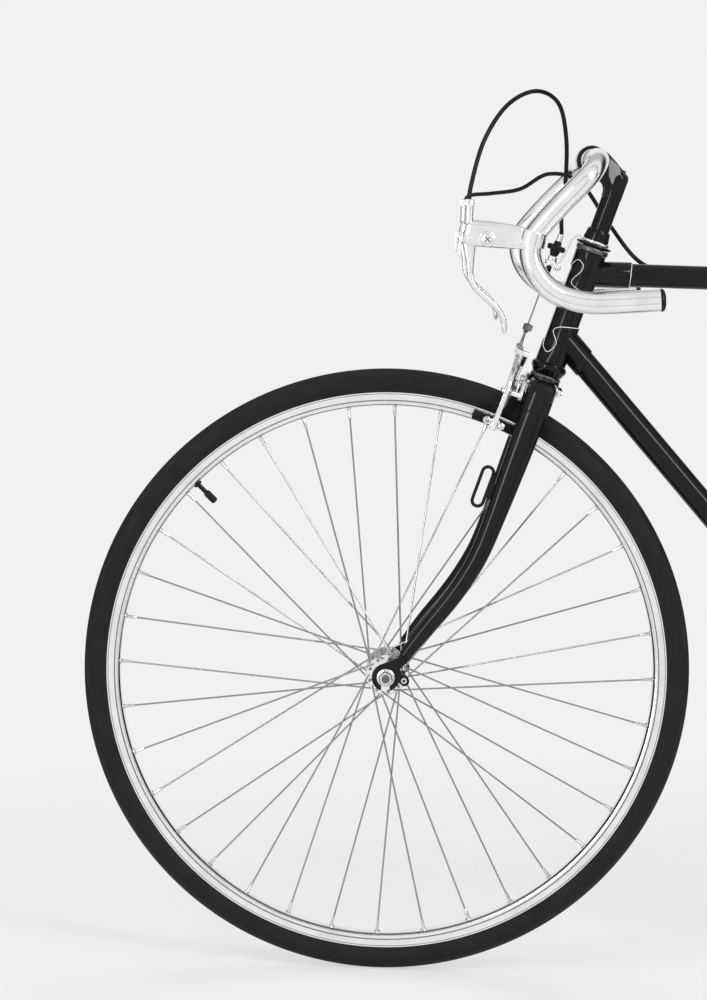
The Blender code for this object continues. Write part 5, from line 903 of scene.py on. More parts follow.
def stem():
    """The stem's body, quill, clamp and bolts, and a grey teardrop of painted sheen on each side."""
    view = steering_view(0)
    outline = [(0.0108, 0.5700), (0.0108, 0.5960), (0.0098, 0.6000), (0.0070, 0.6022), (-0.0080, 0.6112),
               (-0.0200, 0.6176), (-0.0270, 0.6196), (-0.0357, 0.6196), (-0.0357, 0.5880),
               (-0.0262, 0.5868), (-0.0200, 0.5858), (-0.0150, 0.5830), (-0.0122, 0.5780),
               (-0.0108, 0.5690)]
    new_piece()
    add_plate(outline, 0.0196, view)
    finish("stem_body", "fork", ENAMEL, ("stem",), 38, 0.0026, 4)
    new_piece()
    add_turned([(0, 0.4570), (0.0104, 0.4570), (0.0110, 0.4576), (0.0110, 0.5960), (0.0100, 0.6000),
                (0.0060, 0.6022), (0, 0.6026)], STEER_FOOT, STEER_UP, 48, False)
    add_turned([(0.0128, -0.0180), (0.0158, -0.0180), (0.0166, -0.0172), (0.0169, -0.0150),
                (0.0169, 0.0150), (0.0166, 0.0172), (0.0158, 0.0180), (0.0128, 0.0180)], BAR_CENTRE, RIGHT,
               64)
    steering_block(0.5858, -0.0377, 0.0056, (0.0108, 0.0070, 0.0130))
    steering_block(0.5858, -0.0377, -0.0056, (0.0108, 0.0070, 0.0130))
    finish("stem_quill_and_clamp", "fork", ENAMEL, (), 38, 0.0007)
    new_piece()
    add_bolt(steer(0.5838, -0.0377, -0.0090), -RIGHT, 0.0044, 0.0042, 6)
    add_rod(steer(0.5838, -0.0377, -0.0092), steer(0.5838, -0.0377, 0.0092), 0.0024, sides=16)
    add_bolt(steer(0.5838, -0.0377, 0.0090), RIGHT, 0.0048, 0.0034, 6)
    add_bolt(steer(0.6016, 0.0), STEER_UP, 0.0056, 0.0044, 6)
    finish("stem_bolts", "fork", PLATED, (), 35)
    # The sunk teardrop on each side of the stem: a thin grey plate of painted sheen on the black paint
    for side in (-1, 1):
        new_piece()
        drop = [(-0.0178, 0.6126), (-0.0150, 0.6040), (-0.0119, 0.5952), (-0.0070, 0.5890),
                (-0.0024, 0.5845), (0.0000, 0.5790), (0.0013, 0.5744), (0.0026, 0.5800), (0.0035, 0.5878),
                (0.0020, 0.5960), (-0.0036, 0.6068), (-0.0110, 0.6106)]
        smooth = [(x, y) for x, y in smooth_route(drop + drop[:1], 5)][:-1]
        add_plate(smooth, 0.0006, steering_view(side * 0.0098))
        finish("stem_painted_sheen_" + ("left" if side < 0 else "right"), "fork", PAINTED_RECESS_SHEEN, (), 35)


stem()


def handlebar():
    """The bent bar with its centre sleeve and its end plugs."""
    bends = [(0.0, 0.0, 0.0), (0.0, 0.0, 0.060), (0.0, 0.0, 0.125), (-0.0020, -0.0040, 0.163),
             (-0.0095, -0.0160, 0.184), (-0.0210, -0.0290, 0.190), (-0.0410, -0.0505, 0.190),
             (-0.0575, -0.0700, 0.190), (-0.0685, -0.0860, 0.190), (-0.0712, -0.1030, 0.190),
             (-0.0655, -0.1210, 0.190), (-0.0520, -0.1375, 0.190), (-0.0340, -0.1480, 0.190),
             (-0.0120, -0.1528, 0.190), (0.0140, -0.1528, 0.190), (0.0700, -0.1480, 0.190)]
    half = smooth_route(bends, 8)
    route = [(x, z, -y) for x, z, y in reversed(half[1:])] + half
    points = [BAR_CENTRE + Vector((x, y, z)) for x, z, y in route]
    new_piece()
    add_tube(points, BAR_RADIUS, 40)
    add_turned([(0.0118, -0.0325), (0.0124, -0.0322), (0.0127, -0.0312), (0.0127, 0.0312), (0.0124, 0.0322),
                (0.0118, 0.0325)], BAR_CENTRE, RIGHT, 48)
    finish("handlebar_fine", "fork", ALLOY, ("handlebar",), 40)
    new_piece()
    for side in (-1, 1):
        end = BAR_CENTRE + Vector((0.0700, side * GRIP_SIDE, -0.1480))
        heading = Vector((0.0560, 0, 0.0048)).normalized()
        add_turned([(0, 0.0052), (0.0060, 0.0050), (0.0100, 0.0040), (0.0121, 0.0022), (0.0124, 0.0006),
                    (0.0120, -0.0008), (0.0085, -0.0008), (0.0085, -0.0100), (0, -0.0100)], end, heading,
                   40, False)
    finish("bar_plugs", "fork", HOUSING, (), 40)


handlebar()


def lever_place(side, x, z, y=0.0):
    """A point near a lever, measured from the bar's centre and out from the grip."""
    return BAR_CENTRE + Vector((x, side * (GRIP_SIDE + y), z))


def lever_body(side, name):
    """The lever's bracket and the band that holds it to the bar."""
    new_piece()
    rows = [(-0.0790, -0.0868, 0.0118, 0.0088), (-0.0850, -0.0864, 0.0126, 0.0096),
            (-0.1000, -0.0852, 0.0134, 0.0104), (-0.1200, -0.0843, 0.0137, 0.0107),
            (-0.1330, -0.0838, 0.0134, 0.0105), (-0.1385, -0.0834, 0.0122, 0.0098),
            (-0.1418, -0.0830, 0.0096, 0.0082), (-0.1430, -0.0828, 0.0066, 0.0060)]
    add_bar(fine_stations([(tuple(lever_place(side, x, z)), d, t) for x, z, d, t in rows], 4), RIGHT, 40,
            0.55)
    heading = (lever_place(side, -0.0712, -0.0950) - lever_place(side, -0.0682, -0.0800)).normalized()
    middle = lever_place(side, -0.0699, -0.0875)
    add_turned([(0.0119, -0.0080), (0.0146, -0.0080), (0.0150, -0.0076), (0.0150, 0.0076), (0.0146, 0.0080),
                (0.0119, 0.0080)], middle, heading, 56)
    finish(name + "_lever_body_fine", "fork", ALLOY, (name + "_lever_body",), 35, 0.0005)


def lever_fittings(side, name):
    """Slotted caps with their slots drawn as dark rods of painted shade, pins and links on both faces, and
    the cable adjuster.
    """
    new_piece()
    for face in (-1, 1):
        spot = lever_place(side, -0.1172, -0.0892, face * 0.0117)
        add_turned([(0, 0.0038), (0.0030, 0.0036), (0.0058, 0.0030), (0.0076, 0.0020), (0.0083, 0.0008),
                    (0.0084, 0.0), (0, 0.0)], spot, RIGHT * side * face, 40, False)
        pin = lever_place(side, -0.1367, -0.0888, face * 0.0116)
        add_turned([(0, 0.0026), (0.0018, 0.0026), (0.0027, 0.0020), (0.0029, 0.0), (0, 0.0)], pin,
                   RIGHT * side * face, 24, False)
        link = circle((-0.1367, -0.0888), 0.0046, 9, 95, 255) + [(-0.1290, -0.0946)]
        link += circle((-0.1172, -0.0892), 0.0070, 13, -110, 100) + [(-0.1270, -0.0836)]
        place = side_view(side * GRIP_SIDE + face * side * 0.0112)
        place.translation += Vector((BAR_CENTRE.x, 0, BAR_CENTRE.z))
        add_plate(link, 0.0012, place)
    foot = lever_place(side, -0.1375, -0.0745)
    add_turned([(0.0027, 0.0), (0.0050, 0.0), (0.0053, 0.0006), (0.0053, 0.0024), (0.0046, 0.0030),
                (0.0046, 0.0188), (0.0050, 0.0192), (0.0056, 0.0200), (0.0056, 0.0262), (0.0051, 0.0268),
                (0.0027, 0.0268)], foot, (0, 0, 1), 40)
    first = point_count()
    add_rod(foot + Vector((0.0056, 0, 0.0202)), foot + Vector((0.0056, 0, 0.0260)), 0.0004, sides=6)
    select_from(first)
    repeat_round(foot, (0, 0, 1), 24)
    finish(name + "_lever_caps", "fork", ALLOY, (), 35)
    # Dark rods laid on the caps where their slots are: painted shade, nothing is cut
    new_piece()
    for face in (-1, 1):
        spot = lever_place(side, -0.1172, -0.0892, face * 0.0117) + RIGHT * side * face * 0.00385
        for a in (math.radians(40), math.radians(130)):
            along = out_at(a)
            add_rod(spot - along * 0.0038, spot + along * 0.0038, 0.0006, sides=8)
    finish(name + "_cap_slot_shade", "fork", DARK, (), 35)


def lever_blade(side, name):
    """The curved blade with its hub and nose."""
    new_piece()
    path = [(-0.1369, -0.0890, 0.0072, 0.0066), (-0.1362, -0.0960, 0.0070, 0.0068),
            (-0.1353, -0.1060, 0.0055, 0.0068), (-0.1345, -0.1180, 0.0040, 0.0068),
            (-0.1338, -0.1290, 0.0035, 0.0068), (-0.1292, -0.1400, 0.0034, 0.0068),
            (-0.1190, -0.1495, 0.0034, 0.0068), (-0.1095, -0.1575, 0.0034, 0.0067),
            (-0.1020, -0.1650, 0.0033, 0.0066), (-0.0968, -0.1760, 0.0031, 0.0064),
            (-0.0956, -0.1850, 0.0026, 0.0058), (-0.0953, -0.1888, 0.0012, 0.0036)]
    add_bar(fine_stations([(tuple(lever_place(side, x, z)), d, t) for x, z, d, t in path], 5), RIGHT, 32,
            0.62)
    add_rod(lever_place(side, -0.1369, -0.0890, -0.0068), lever_place(side, -0.1369, -0.0890, 0.0068),
            0.0074, sides=36)
    add_block(lever_place(side, -0.1454, -0.0977), Matrix.Identity(3), (0.0026, 0.0126, 0.0232))
    finish(name + "_blade_of_lever", name + "_lever", ALLOY, (name + "_lever_blade",), 35, 0.0003)


for lever_side, lever_name in SIDES:
    lever_body(lever_side, lever_name)
    lever_fittings(lever_side, lever_name)
    lever_blade(lever_side, lever_name)


# Brakes

class Seat:
    """Where a brake sits: its bolt, the way up, the way it faces and its wheel's axle."""

    def __init__(self, bolt, up, faces, axle):
        self.bolt, self.up, self.faces, self.axle = bolt, up, faces, axle

    def at(self, side, height, forward):
        """A point measured from the bolt."""
        return self.bolt + RIGHT * side + self.up * height + self.faces * forward

    def pad_height(self, forward):
        """The height at which a pad meets the rim's brake track."""
        start = self.bolt + self.faces * forward - self.axle
        along = start.dot(self.up)
        return math.sqrt(along ** 2 - (start.length_squared - BRAKE_TRACK ** 2)) - along


def rear_seat():
    """The rear brake sits on the bridge between the seat stays, 350 mm up them from their feet."""
    top = seat_point(CLUSTER + 0.004, 0.008)
    bottom = REAR_AXLE + Vector((-0.0045, 0, 0.020))
    up = (top - bottom).normalized()
    faces = up.cross(RIGHT)
    return Seat(bottom + up * 0.350, up, faces if faces.x > 0 else -faces, REAR_AXLE)


def brake_plate(end, seat, half_depth, body):
    """The arched plate with its two pivots, and the bolt that holds it."""
    middle = half_depth + 0.0045
    new_piece()
    half_arch = [(0.0120, 0.0024, 0.0060), (0.0240, -0.0036, 0.0052), (0.0320, -0.0165, 0.0062),
                 (0.0352, -0.0205, 0.0040)]
    arch = [(-s, h, w) for s, h, w in half_arch[::-1]] + [(0.0, 0.0036, 0.0075)] + half_arch
    flat = [(*seat.at(s, h, middle), w, 0.0021) for s, h, w in arch]
    add_bar([((x, y, z), w, t) for x, y, z, w, t in smooth_route(flat, 4)], seat.faces, 20, 0.4)
    for side, length in ((-1, 0.0215), (1, 0.0155)):
        add_rod(seat.at(side * PIVOT_SIDE, PIVOT_HEIGHT, middle),
                seat.at(side * PIVOT_SIDE, PIVOT_HEIGHT, middle + length - 0.0004), 0.0034, sides=24)
        add_turned([(0, 0.0022), (0.0026, 0.0020), (0.0046, 0.0010), (0.0052, 0.0), (0, 0.0)],
                   seat.at(side * PIVOT_SIDE, PIVOT_HEIGHT, middle + length - 0.0006), seat.faces, 24,
                   False)
    add_rod(seat.at(0, 0, -half_depth - 0.0088), seat.at(0, 0, middle + 0.0034), 0.0029, sides=20)
    add_bolt(seat.at(0, 0, middle + 0.0018), seat.faces, 0.0058, 0.0040, 6)
    add_turned([(0.0030, 0.0), (0.0080, 0.0), (0.0080, 0.0010), (0.0030, 0.0010)],
               seat.at(0, 0, middle + 0.0012), seat.faces, 28)
    add_turned([(0.0031, 0.0003), (0.0085, 0.0003), (0.0085, 0.0012), (0.0031, 0.0012)],
               seat.at(0, 0, -half_depth), -seat.faces, 28)
    add_bolt(seat.at(0, 0, -half_depth - 0.0012), -seat.faces, 0.0062, 0.0052, 6)
    finish(end + "_plate_fine", body, ALLOY, (end + "_brake_plate",), 35, 0.0003)


def brake_arm(name, seat, side, ahead, wire_forward, body):
    """One arm with its anchor, pad, pad nuts and return spring."""
    pad_forward = ahead + 0.0010
    pad_height = seat.pad_height(pad_forward)
    inner = 0.0132 + 0.0024
    shoe_side = side * (inner + 0.0125)
    route = [(shoe_side, pad_height - 0.0080, 0.0052), (shoe_side, pad_height + 0.0040, 0.0060),
             (side * 0.0322, -0.0330, 0.0060), (side * 0.0322, -0.0230, 0.0072),
             (side * 0.0312, -0.0140, 0.0074), (side * 0.0240, -0.0010, 0.0062),
             (side * 0.0060, 0.0100, 0.0055), (-side * 0.0120, 0.0185, 0.0047),
             (-side * 0.0250, 0.0262, 0.0040), (-side * 0.0310, 0.0296, 0.0036)]
    flat = [(*seat.at(s, h, ahead), w, 0.0031) for s, h, w in route]
    new_piece()
    add_bar([((x, y, z), w, t) for x, y, z, w, t in smooth_route(flat, 5)], seat.faces, 24, 0.45)
    add_turned([(0.0036, -0.0029), (0.0076, -0.0029), (0.0082, -0.0024), (0.0082, 0.0024), (0.0076, 0.0029),
                (0.0036, 0.0029)], seat.at(side * PIVOT_SIDE, PIVOT_HEIGHT, ahead), seat.faces, 36)
    add_rod(seat.at(-side * 0.030, 0.029, ahead - 0.0026),
            seat.at(-side * 0.030, 0.029, wire_forward + 0.0020), 0.0037, sides=24)
    add_bolt(seat.at(-side * 0.030, 0.029, wire_forward + 0.0012), seat.faces, 0.0042, 0.0016, 6)
    add_turned([(0, 0), (0.0062, 0), (0.0062, 0.0010), (0, 0.0010)], seat.at(shoe_side, pad_height, ahead),
               RIGHT * side, 24, False)
    finish(name + "_fine", name, ALLOY, (name,), 35, 0.0003)
    centre = seat.at(side * (inner + 0.0045), pad_height, pad_forward)
    radial = centre - seat.axle
    radial.y = 0
    radial.normalize()
    along = radial.cross(RIGHT)
    place = placement(along, radial, RIGHT * side, centre)
    new_piece()
    pad = [(-0.0250, -0.0046), (-0.0235, -0.0051), (0.0, -0.0043), (0.0235, -0.0051), (0.0250, -0.0046),
           (0.0258, 0.0), (0.0250, 0.0052), (0.0, 0.0060), (-0.0250, 0.0052), (-0.0258, 0.0)]
    add_plate(pad, 0.0086, place)
    for cut in range(-4, 5):
        add_ball(place @ Vector((cut * 0.0052, 0.0, 0.0042)), 0.0015)
    finish(name + "_pad", name, PAD_RUBBER, (), 35, 0.0008)
    new_piece()
    add_rod(centre + RIGHT * side * 0.0030, centre + RIGHT * side * 0.0088, 0.0030, sides=20)
    for spot in (centre + along * 0.0082, centre - along * 0.0088):
        add_turned([(0, 0.0150), (0.0020, 0.0150), (0.0038, 0.0140), (0.0046, 0.0122), (0.0046, 0.0044),
                    (0, 0.0044)], spot, RIGHT * side, 28, False)
    finish(name + "_pad_nut", name, PLATED, (), 35)
    new_piece()
    spring = [seat.at(side * 0.0300, -0.0040, ahead - 0.0045),
              seat.at(side * 0.0270, -0.0105, ahead - 0.0048)]
    for turn in range(17):
        angle = math.radians(70 + 45 * turn)
        spring.append(seat.at(side * (PIVOT_SIDE + 0.0056 * math.cos(angle)),
                              PIVOT_HEIGHT + 0.0056 * math.sin(angle),
                              ahead - 0.0060 + 0.0012 * turn / 8))
    spring += [seat.at(side * 0.0335, -0.0300, ahead - 0.0040),
               seat.at(side * 0.0335, -0.0365, ahead - 0.0026)]
    add_tube(smooth_route(spring, 2), 0.0008, 8)
    finish(name + "_spring", body, STEEL, (), 40)


def straddle(end, seat, wire_forward, wire_top):
    """The yoke, the wire above it and the straddle wire below."""
    new_piece()
    yoke = [(-0.0062, -0.0030), (-0.0030, -0.0050), (0.0030, -0.0050), (0.0062, -0.0030), (0.0048, 0.0036),
            (0.0022, 0.0056), (-0.0022, 0.0056), (-0.0048, 0.0036)]
    place = placement(RIGHT, seat.up, seat.faces, seat.at(0, YOKE_HEIGHT, wire_forward))
    add_plate(yoke, 0.0050, place)
    add_bolt(seat.at(0, 0.0572, wire_forward + 0.0025), seat.faces, 0.0040, 0.0020, 6)
    finish(end + "_yoke", end + "_straddle", DARK, (), 35, 0.0003)
    new_piece()
    add_bolt(seat.at(0, 0.0572, wire_forward - 0.0025), -seat.faces, 0.0042, 0.0034, 6)
    add_tube([seat.at(0, YOKE_HEIGHT, wire_forward), seat.at(0, wire_top, wire_forward)], WIRE_RADIUS, 10)
    leg = [(0.0050, 0.0530), (0.0150, 0.0452), (0.0262, 0.0366), (0.0300, 0.0342)]
    legs = [(-s, h) for s, h in leg[::-1]] + [(0.0, 0.0552)] + leg
    add_tube([seat.at(s, h, wire_forward) for s, h in smooth_route(legs, 4)], WIRE_RADIUS, 10)
    for side in (-1, 1):
        add_rod(seat.at(side * 0.0300, 0.0342, wire_forward - 0.0032),
                seat.at(side * 0.0300, 0.0342, wire_forward + 0.0032), 0.0019, sides=16)
    finish(end + "_straddle_fine", end + "_straddle", STEEL, (end + "_straddle",), 35)


def brake(end, seat, half_depth, forward, body, wire_top):
    """A centre-pull brake on its seat."""
    wire_forward = forward + 0.0078
    brake_plate(end, seat, half_depth, body)
    brake_arm(end + "_left_arm", seat, -1, forward + 0.006, wire_forward, body)
    brake_arm(end + "_right_arm", seat, 1, forward, wire_forward, body)
    straddle(end, seat, wire_forward, wire_top)


FRONT_SEAT = Seat(steer(CROWN_BOLT), STEER_UP, -STEER_BACK, FRONT_AXLE)
brake("front", FRONT_SEAT, 0.0162, 0.0310, "fork", 0.484 - CROWN_BOLT)
REAR_SEAT = rear_seat()
brake("rear", REAR_SEAT, 0.0085, 0.0233, "frame", 0.110)


# Frame tubes, lugs and stays

def steering_loop(points, reach):
    """A line of (along, across) points laid on a sleeve of the head tube, round its front."""
    turned = [(along, math.acos(max(-1, min(1, -across / reach)))) for along, across in points]
    flat = smooth_route(turned, 6)
    both = [(along, -turn) for along, turn in flat[::-1]] + [(flat[0][0], 0.0)] + flat
    return [steer(along, -reach * math.cos(turn), reach * math.sin(turn)) for along, turn in both]


def socket_loop(start, along, place, normal, reach):
    """A line round a socket where a slanting plane meets it."""
    axes = facing(along)
    loop = []
    for step in range(50):
        turn = math.tau * step / 48
        spot = start + axes @ Vector((reach * math.cos(turn), reach * math.sin(turn), 0))
        loop.append(spot + along * ((place - spot).dot(normal) / along.dot(normal)))
    return loop


def head_lug(name, span, joint, edge, open_side, toward, tube_radius, socket_end, lined):
    """A curled sleeve on the head tube with a slanting socket for a tube, and its painted lining."""
    start = steer(joint)
    along = (toward - start).normalized()
    place, normal = socket_end
    new_piece()
    add_turned([(0.01603, span[0]), (0.0172, span[0]), (0.0176, span[0] + 0.0004),
                (0.0176, span[1] - 0.0004), (0.0172, span[1]), (0.01603, span[1])], STEER_FOOT, STEER_UP,
               96)
    sleeve = close_piece()
    curve = [(across, height) for height, across in smooth_route(edge, 6)]
    new_piece()
    add_plate([(-0.040, curve[0][1])] + curve + [(curve[-1][0], open_side), (-0.040, open_side)], 0.070,
              steering_view(0))
    carve(sleeve, close_piece())
    new_piece()
    add_rod(start + along * 0.002, start + along * 0.110, tube_radius + 0.0016, sides=72)
    bpy.ops.mesh.select_all(action="SELECT")
    bpy.ops.mesh.bisect(plane_co=place, plane_no=normal, use_fill=True, clear_outer=True)
    socket = close_piece()
    new_piece()
    add_rod(steer(joint - 0.05), steer(joint + 0.05), 0.01603, sides=96)
    carve(socket, close_piece())
    bpy.ops.object.select_all(action="DESELECT")
    socket.select_set(True)
    sleeve.select_set(True)
    bpy.context.view_layer.objects.active = sleeve
    bpy.ops.object.join()
    bpy.ops.object.mode_set(mode="EDIT")
    finish(name + "_fine", "frame", ENAMEL, (name,), 40, 0.0003)
    new_piece()
    add_tube(steering_loop(edge, 0.0177), 0.00042, 6)
    if lined:
        add_tube(socket_loop(start, along, place, normal, tube_radius + 0.0017), 0.00042, 6)
    finish(name + "_lining", "frame", LINING, (), 60)


UPPER_EDGE = [(0.4869, -0.0164), (0.4951, -0.0119), (0.4917, -0.0048), (0.4848, -0.0040), (0.4743, -0.0092),
              (0.4686, -0.0101), (0.4644, -0.0032), (0.4623, 0.0074), (0.4625, 0.0116)]
LOWER_EDGE = [(0.3986, -0.0160), (0.3928, -0.0156), (0.3866, -0.0084), (0.3990, -0.0027), (0.4110, -0.0105),
              (0.4176, -0.0042), (0.4215, 0.0100), (0.4226, 0.0160)]


def frame_tubes():
    """Head, top, down and seat tubes with both head lugs."""
    top, cluster, down = steer(TOP_JOINT), seat_point(CLUSTER), steer(DOWN_JOINT)
    back = (cluster - top).normalized()
    low = (BRACKET - down).normalized()
    new_piece()
    add_turned([(0.0147, 0.3750), (0.0160, 0.3750), (0.0160, 0.5070), (0.0147, 0.5070)], STEER_FOOT,
               STEER_UP, 96)
    finish("head_tube_fine", "frame", ENAMEL, ("head_tube",), 40, 0.0002)
    for name, start, end, radius in (("top_tube", top + back * 0.0142, cluster - back * 0.0120, TOP_TUBE),
                                     ("down_tube", down + low * 0.0144, BRACKET - low * 0.0170, DOWN_TUBE),
                                     ("seat_tube", BRACKET + SEAT_UP * 0.0170, seat_point(CLUSTER + 0.030),
                                      SEAT_TUBE)):
        new_piece()
        add_tube([start + (end - start) * share for share in (0.0, 0.1, 0.9, 1.0)], radius, 72)
        finish(name + "_fine", "frame", ENAMEL, (name,), 40, 0.0003)
    head_lug("upper_head_lug", (0.4640 - 0.0017, 0.5070), TOP_JOINT, UPPER_EDGE, 0.440, cluster, TOP_TUBE,
             (FRONT_AXLE + Vector((0.2592, 0, 0.4582)), Vector((0.99, 0, -0.08)).normalized()), True)
    head_lug("lower_head_lug", (0.3750, 0.4230), DOWN_JOINT, LOWER_EDGE, 0.440, BRACKET, DOWN_TUBE,
             (FRONT_AXLE + Vector((0.2111, 0, 0.3568)), Vector((0.87, 0, -0.497)).normalized()), False)


def seat_cluster():
    """The seat lug with its socket, ears and slit, and the binder bolt."""
    joint = seat_point(CLUSTER)
    forward = (steer(TOP_JOINT) - joint).normalized()
    binder = seat_point(CLUSTER + 0.018, 0.0218)
    new_piece()
    add_rod(seat_point(CLUSTER - 0.024), seat_point(CLUSTER + 0.030), 0.0159, sides=72, round_ends=0.0006)
    add_rod(joint, joint + forward * 0.046, 0.0147, sides=72, round_ends=0.0006)
    for side in (-1, 1):
        add_bar([(binder + RIGHT * side * 0.0039 - SEAT_BACK * 0.009, 0.0066, 0.0030),
                 (binder + RIGHT * side * 0.0039, 0.0064, 0.0030),
                 (binder + RIGHT * side * 0.0039 + SEAT_BACK * 0.005, 0.0040, 0.0028)], RIGHT,
                squareness=0.5)
    finish("seat_lug_fine", "frame", ENAMEL, ("seat_lug",), 40, 0.0003)
    new_piece()
    add_rod(binder - RIGHT * 0.0120, binder + RIGHT * 0.0120, 0.0028, sides=20)
    add_bolt(binder - RIGHT * 0.0070, -RIGHT, 0.0052, 0.0050, 6)
    add_bolt(binder + RIGHT * 0.0070, RIGHT, 0.0052, 0.0048, 6)
    finish("binder_bolt_fine", "frame", PLATED, ("seat_binder_bolt",), 35, 0.0002)


def rear_end():
    """Seat stays, chain stays with their slotted ends, and the bridge for the rear brake."""
    back = (REAR_AXLE - BRACKET).normalized()
    x, z = REAR_AXLE.x, REAR_AXLE.z
    for side, name in SIDES:
        start = BRACKET + RIGHT * side * 0.0200 + back * 0.012
        end = REAR_AXLE - back * 0.030 + RIGHT * side * STAY_SIDE
        rows = [(0.0, 0.0100, 0.0100), (0.10, 0.0100, 0.0100), (0.22, 0.0111, 0.0077),
                (0.36, 0.0106, 0.0078), (0.65, 0.0090, 0.0071), (0.93, 0.0072, 0.0062),
                (1.0, 0.0052, 0.0042)]
        new_piece()
        add_bar(fine_stations([(tuple(start + (end - start) * share), d, t) for share, d, t in rows], 4),
                RIGHT, 32)
        slot = 0.0052
        outline = [(x - 0.034, z - 0.0105), (x - 0.014, z - 0.0175), (x + 0.004, z - 0.0175),
                   (x + 0.017, z - 0.010), (x + 0.017, z + 0.008), (x + 0.010, z + 0.0165),
                   (x - 0.006, z + 0.0195), (x - 0.021, z + 0.0150), (x - 0.022, z + slot), (x, z + slot)]
        outline += circle((x, z), slot, 9, 75, -75)
        outline += [(x, z - slot), (x - 0.022, z - slot), (x - 0.034, z - 0.001)]
        add_plate(outline, 0.0045, side_view(side * STAY_SIDE))
        finish(name + "_chain_stay_fine", "frame", ENAMEL, (name + "_chain_stay",), 40, 0.0005)
        top = seat_point(CLUSTER + 0.004, 0.008, side * (0.0159 + 0.0068))
        foot = REAR_AXLE + Vector((-0.0045, side * STAY_SIDE, 0.020))
        rows = [(-0.045, 0.0020), (-0.040, 0.0042), (-0.025, 0.0062), (0.0, 0.0068), (0.3, 0.0071),
                (0.6, 0.0070), (0.85, 0.0064), (0.96, 0.0058), (1.0, 0.0042)]
        new_piece()
        add_bar(fine_stations([(tuple(top + (foot - top) * share), r, r) for share, r in rows], 4), RIGHT,
                28)
        add_block(foot + Vector((0, 0, 0.0052)), Matrix.Identity(3), (0.012, 0.0045, 0.0088))
        finish(name + "_seat_stay_fine", "frame", ENAMEL, (name + "_seat_stay",), 40, 0.0006)
    low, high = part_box("brake_bridge")
    half = (high[1] - low[1]) / 2
    seat = rear_seat()
    new_piece()
    add_bar([(seat.bolt + RIGHT * half * share, r, r) for share,
             r in ((-1.0, 0.0075), (-0.88, 0.0062), (-0.3, 0.0060), (0.3, 0.0060), (0.88, 0.0062),
                   (1.0, 0.0075))], seat.up, 28)
    add_turned([(0.0033, -0.0085), (0.0082, -0.0085), (0.0086, -0.0081), (0.0086, 0.0081), (0.0082, 0.0085),
                (0.0033, 0.0085)], seat.bolt, seat.faces, 40)
    finish("brake_bridge_fine", "frame", ENAMEL, ("brake_bridge",), 40, 0.0003)


def bracket_shell():
    """The bottom bracket shell with its sockets, its cups and the lockring."""
    back = (REAR_AXLE - BRACKET).normalized()
    new_piece()
    add_turned([(0.0160, -0.0340), (0.0194, -0.0340), (0.0200, -0.0334), (0.0200, 0.0334), (0.0194, 0.0340),
                (0.0160, 0.0340)], BRACKET, RIGHT, 72)
    for toward, radius, reach in ((steer(DOWN_JOINT), 0.0157, 0.046), (seat_point(0.5), 0.0159, 0.043)):
        along = (toward - BRACKET).normalized()
        add_rod(BRACKET + along * 0.0165, BRACKET + along * reach, radius, sides=64, round_ends=0.0006)
    for side in (-1, 1):
        start = BRACKET + RIGHT * side * 0.0200
        along = (REAR_AXLE - back * 0.030 + RIGHT * side * STAY_SIDE - start).normalized()
        add_rod(start + along * 0.014, start + along * 0.038, 0.0119, sides=56, round_ends=0.0006)
    finish("bracket_shell_fine", "frame", ENAMEL, ("bottom_bracket_shell",), 40, 0.0003)
    new_piece()
    for side in (-1, 1):
        add_turned([(0.0091, 0.0335), (0.0162, 0.0335), (0.0162, 0.0352), (0.0150, 0.0374),
                    (0.0110, 0.0380), (0.0091, 0.0376)], BRACKET, RIGHT * side, 56)
    add_turned([(0.0163, 0.0341), (0.0196, 0.0341), (0.0198, 0.0345), (0.0198, 0.0362), (0.0194, 0.0366),
                (0.0163, 0.0366)], BRACKET, -RIGHT, 56)
    finish("bracket_cups", "frame", PLATED, (), 35, 0.0002)


frame_tubes()
seat_cluster()
rear_end()
bracket_shell()


# Cranks, pedals and seat post

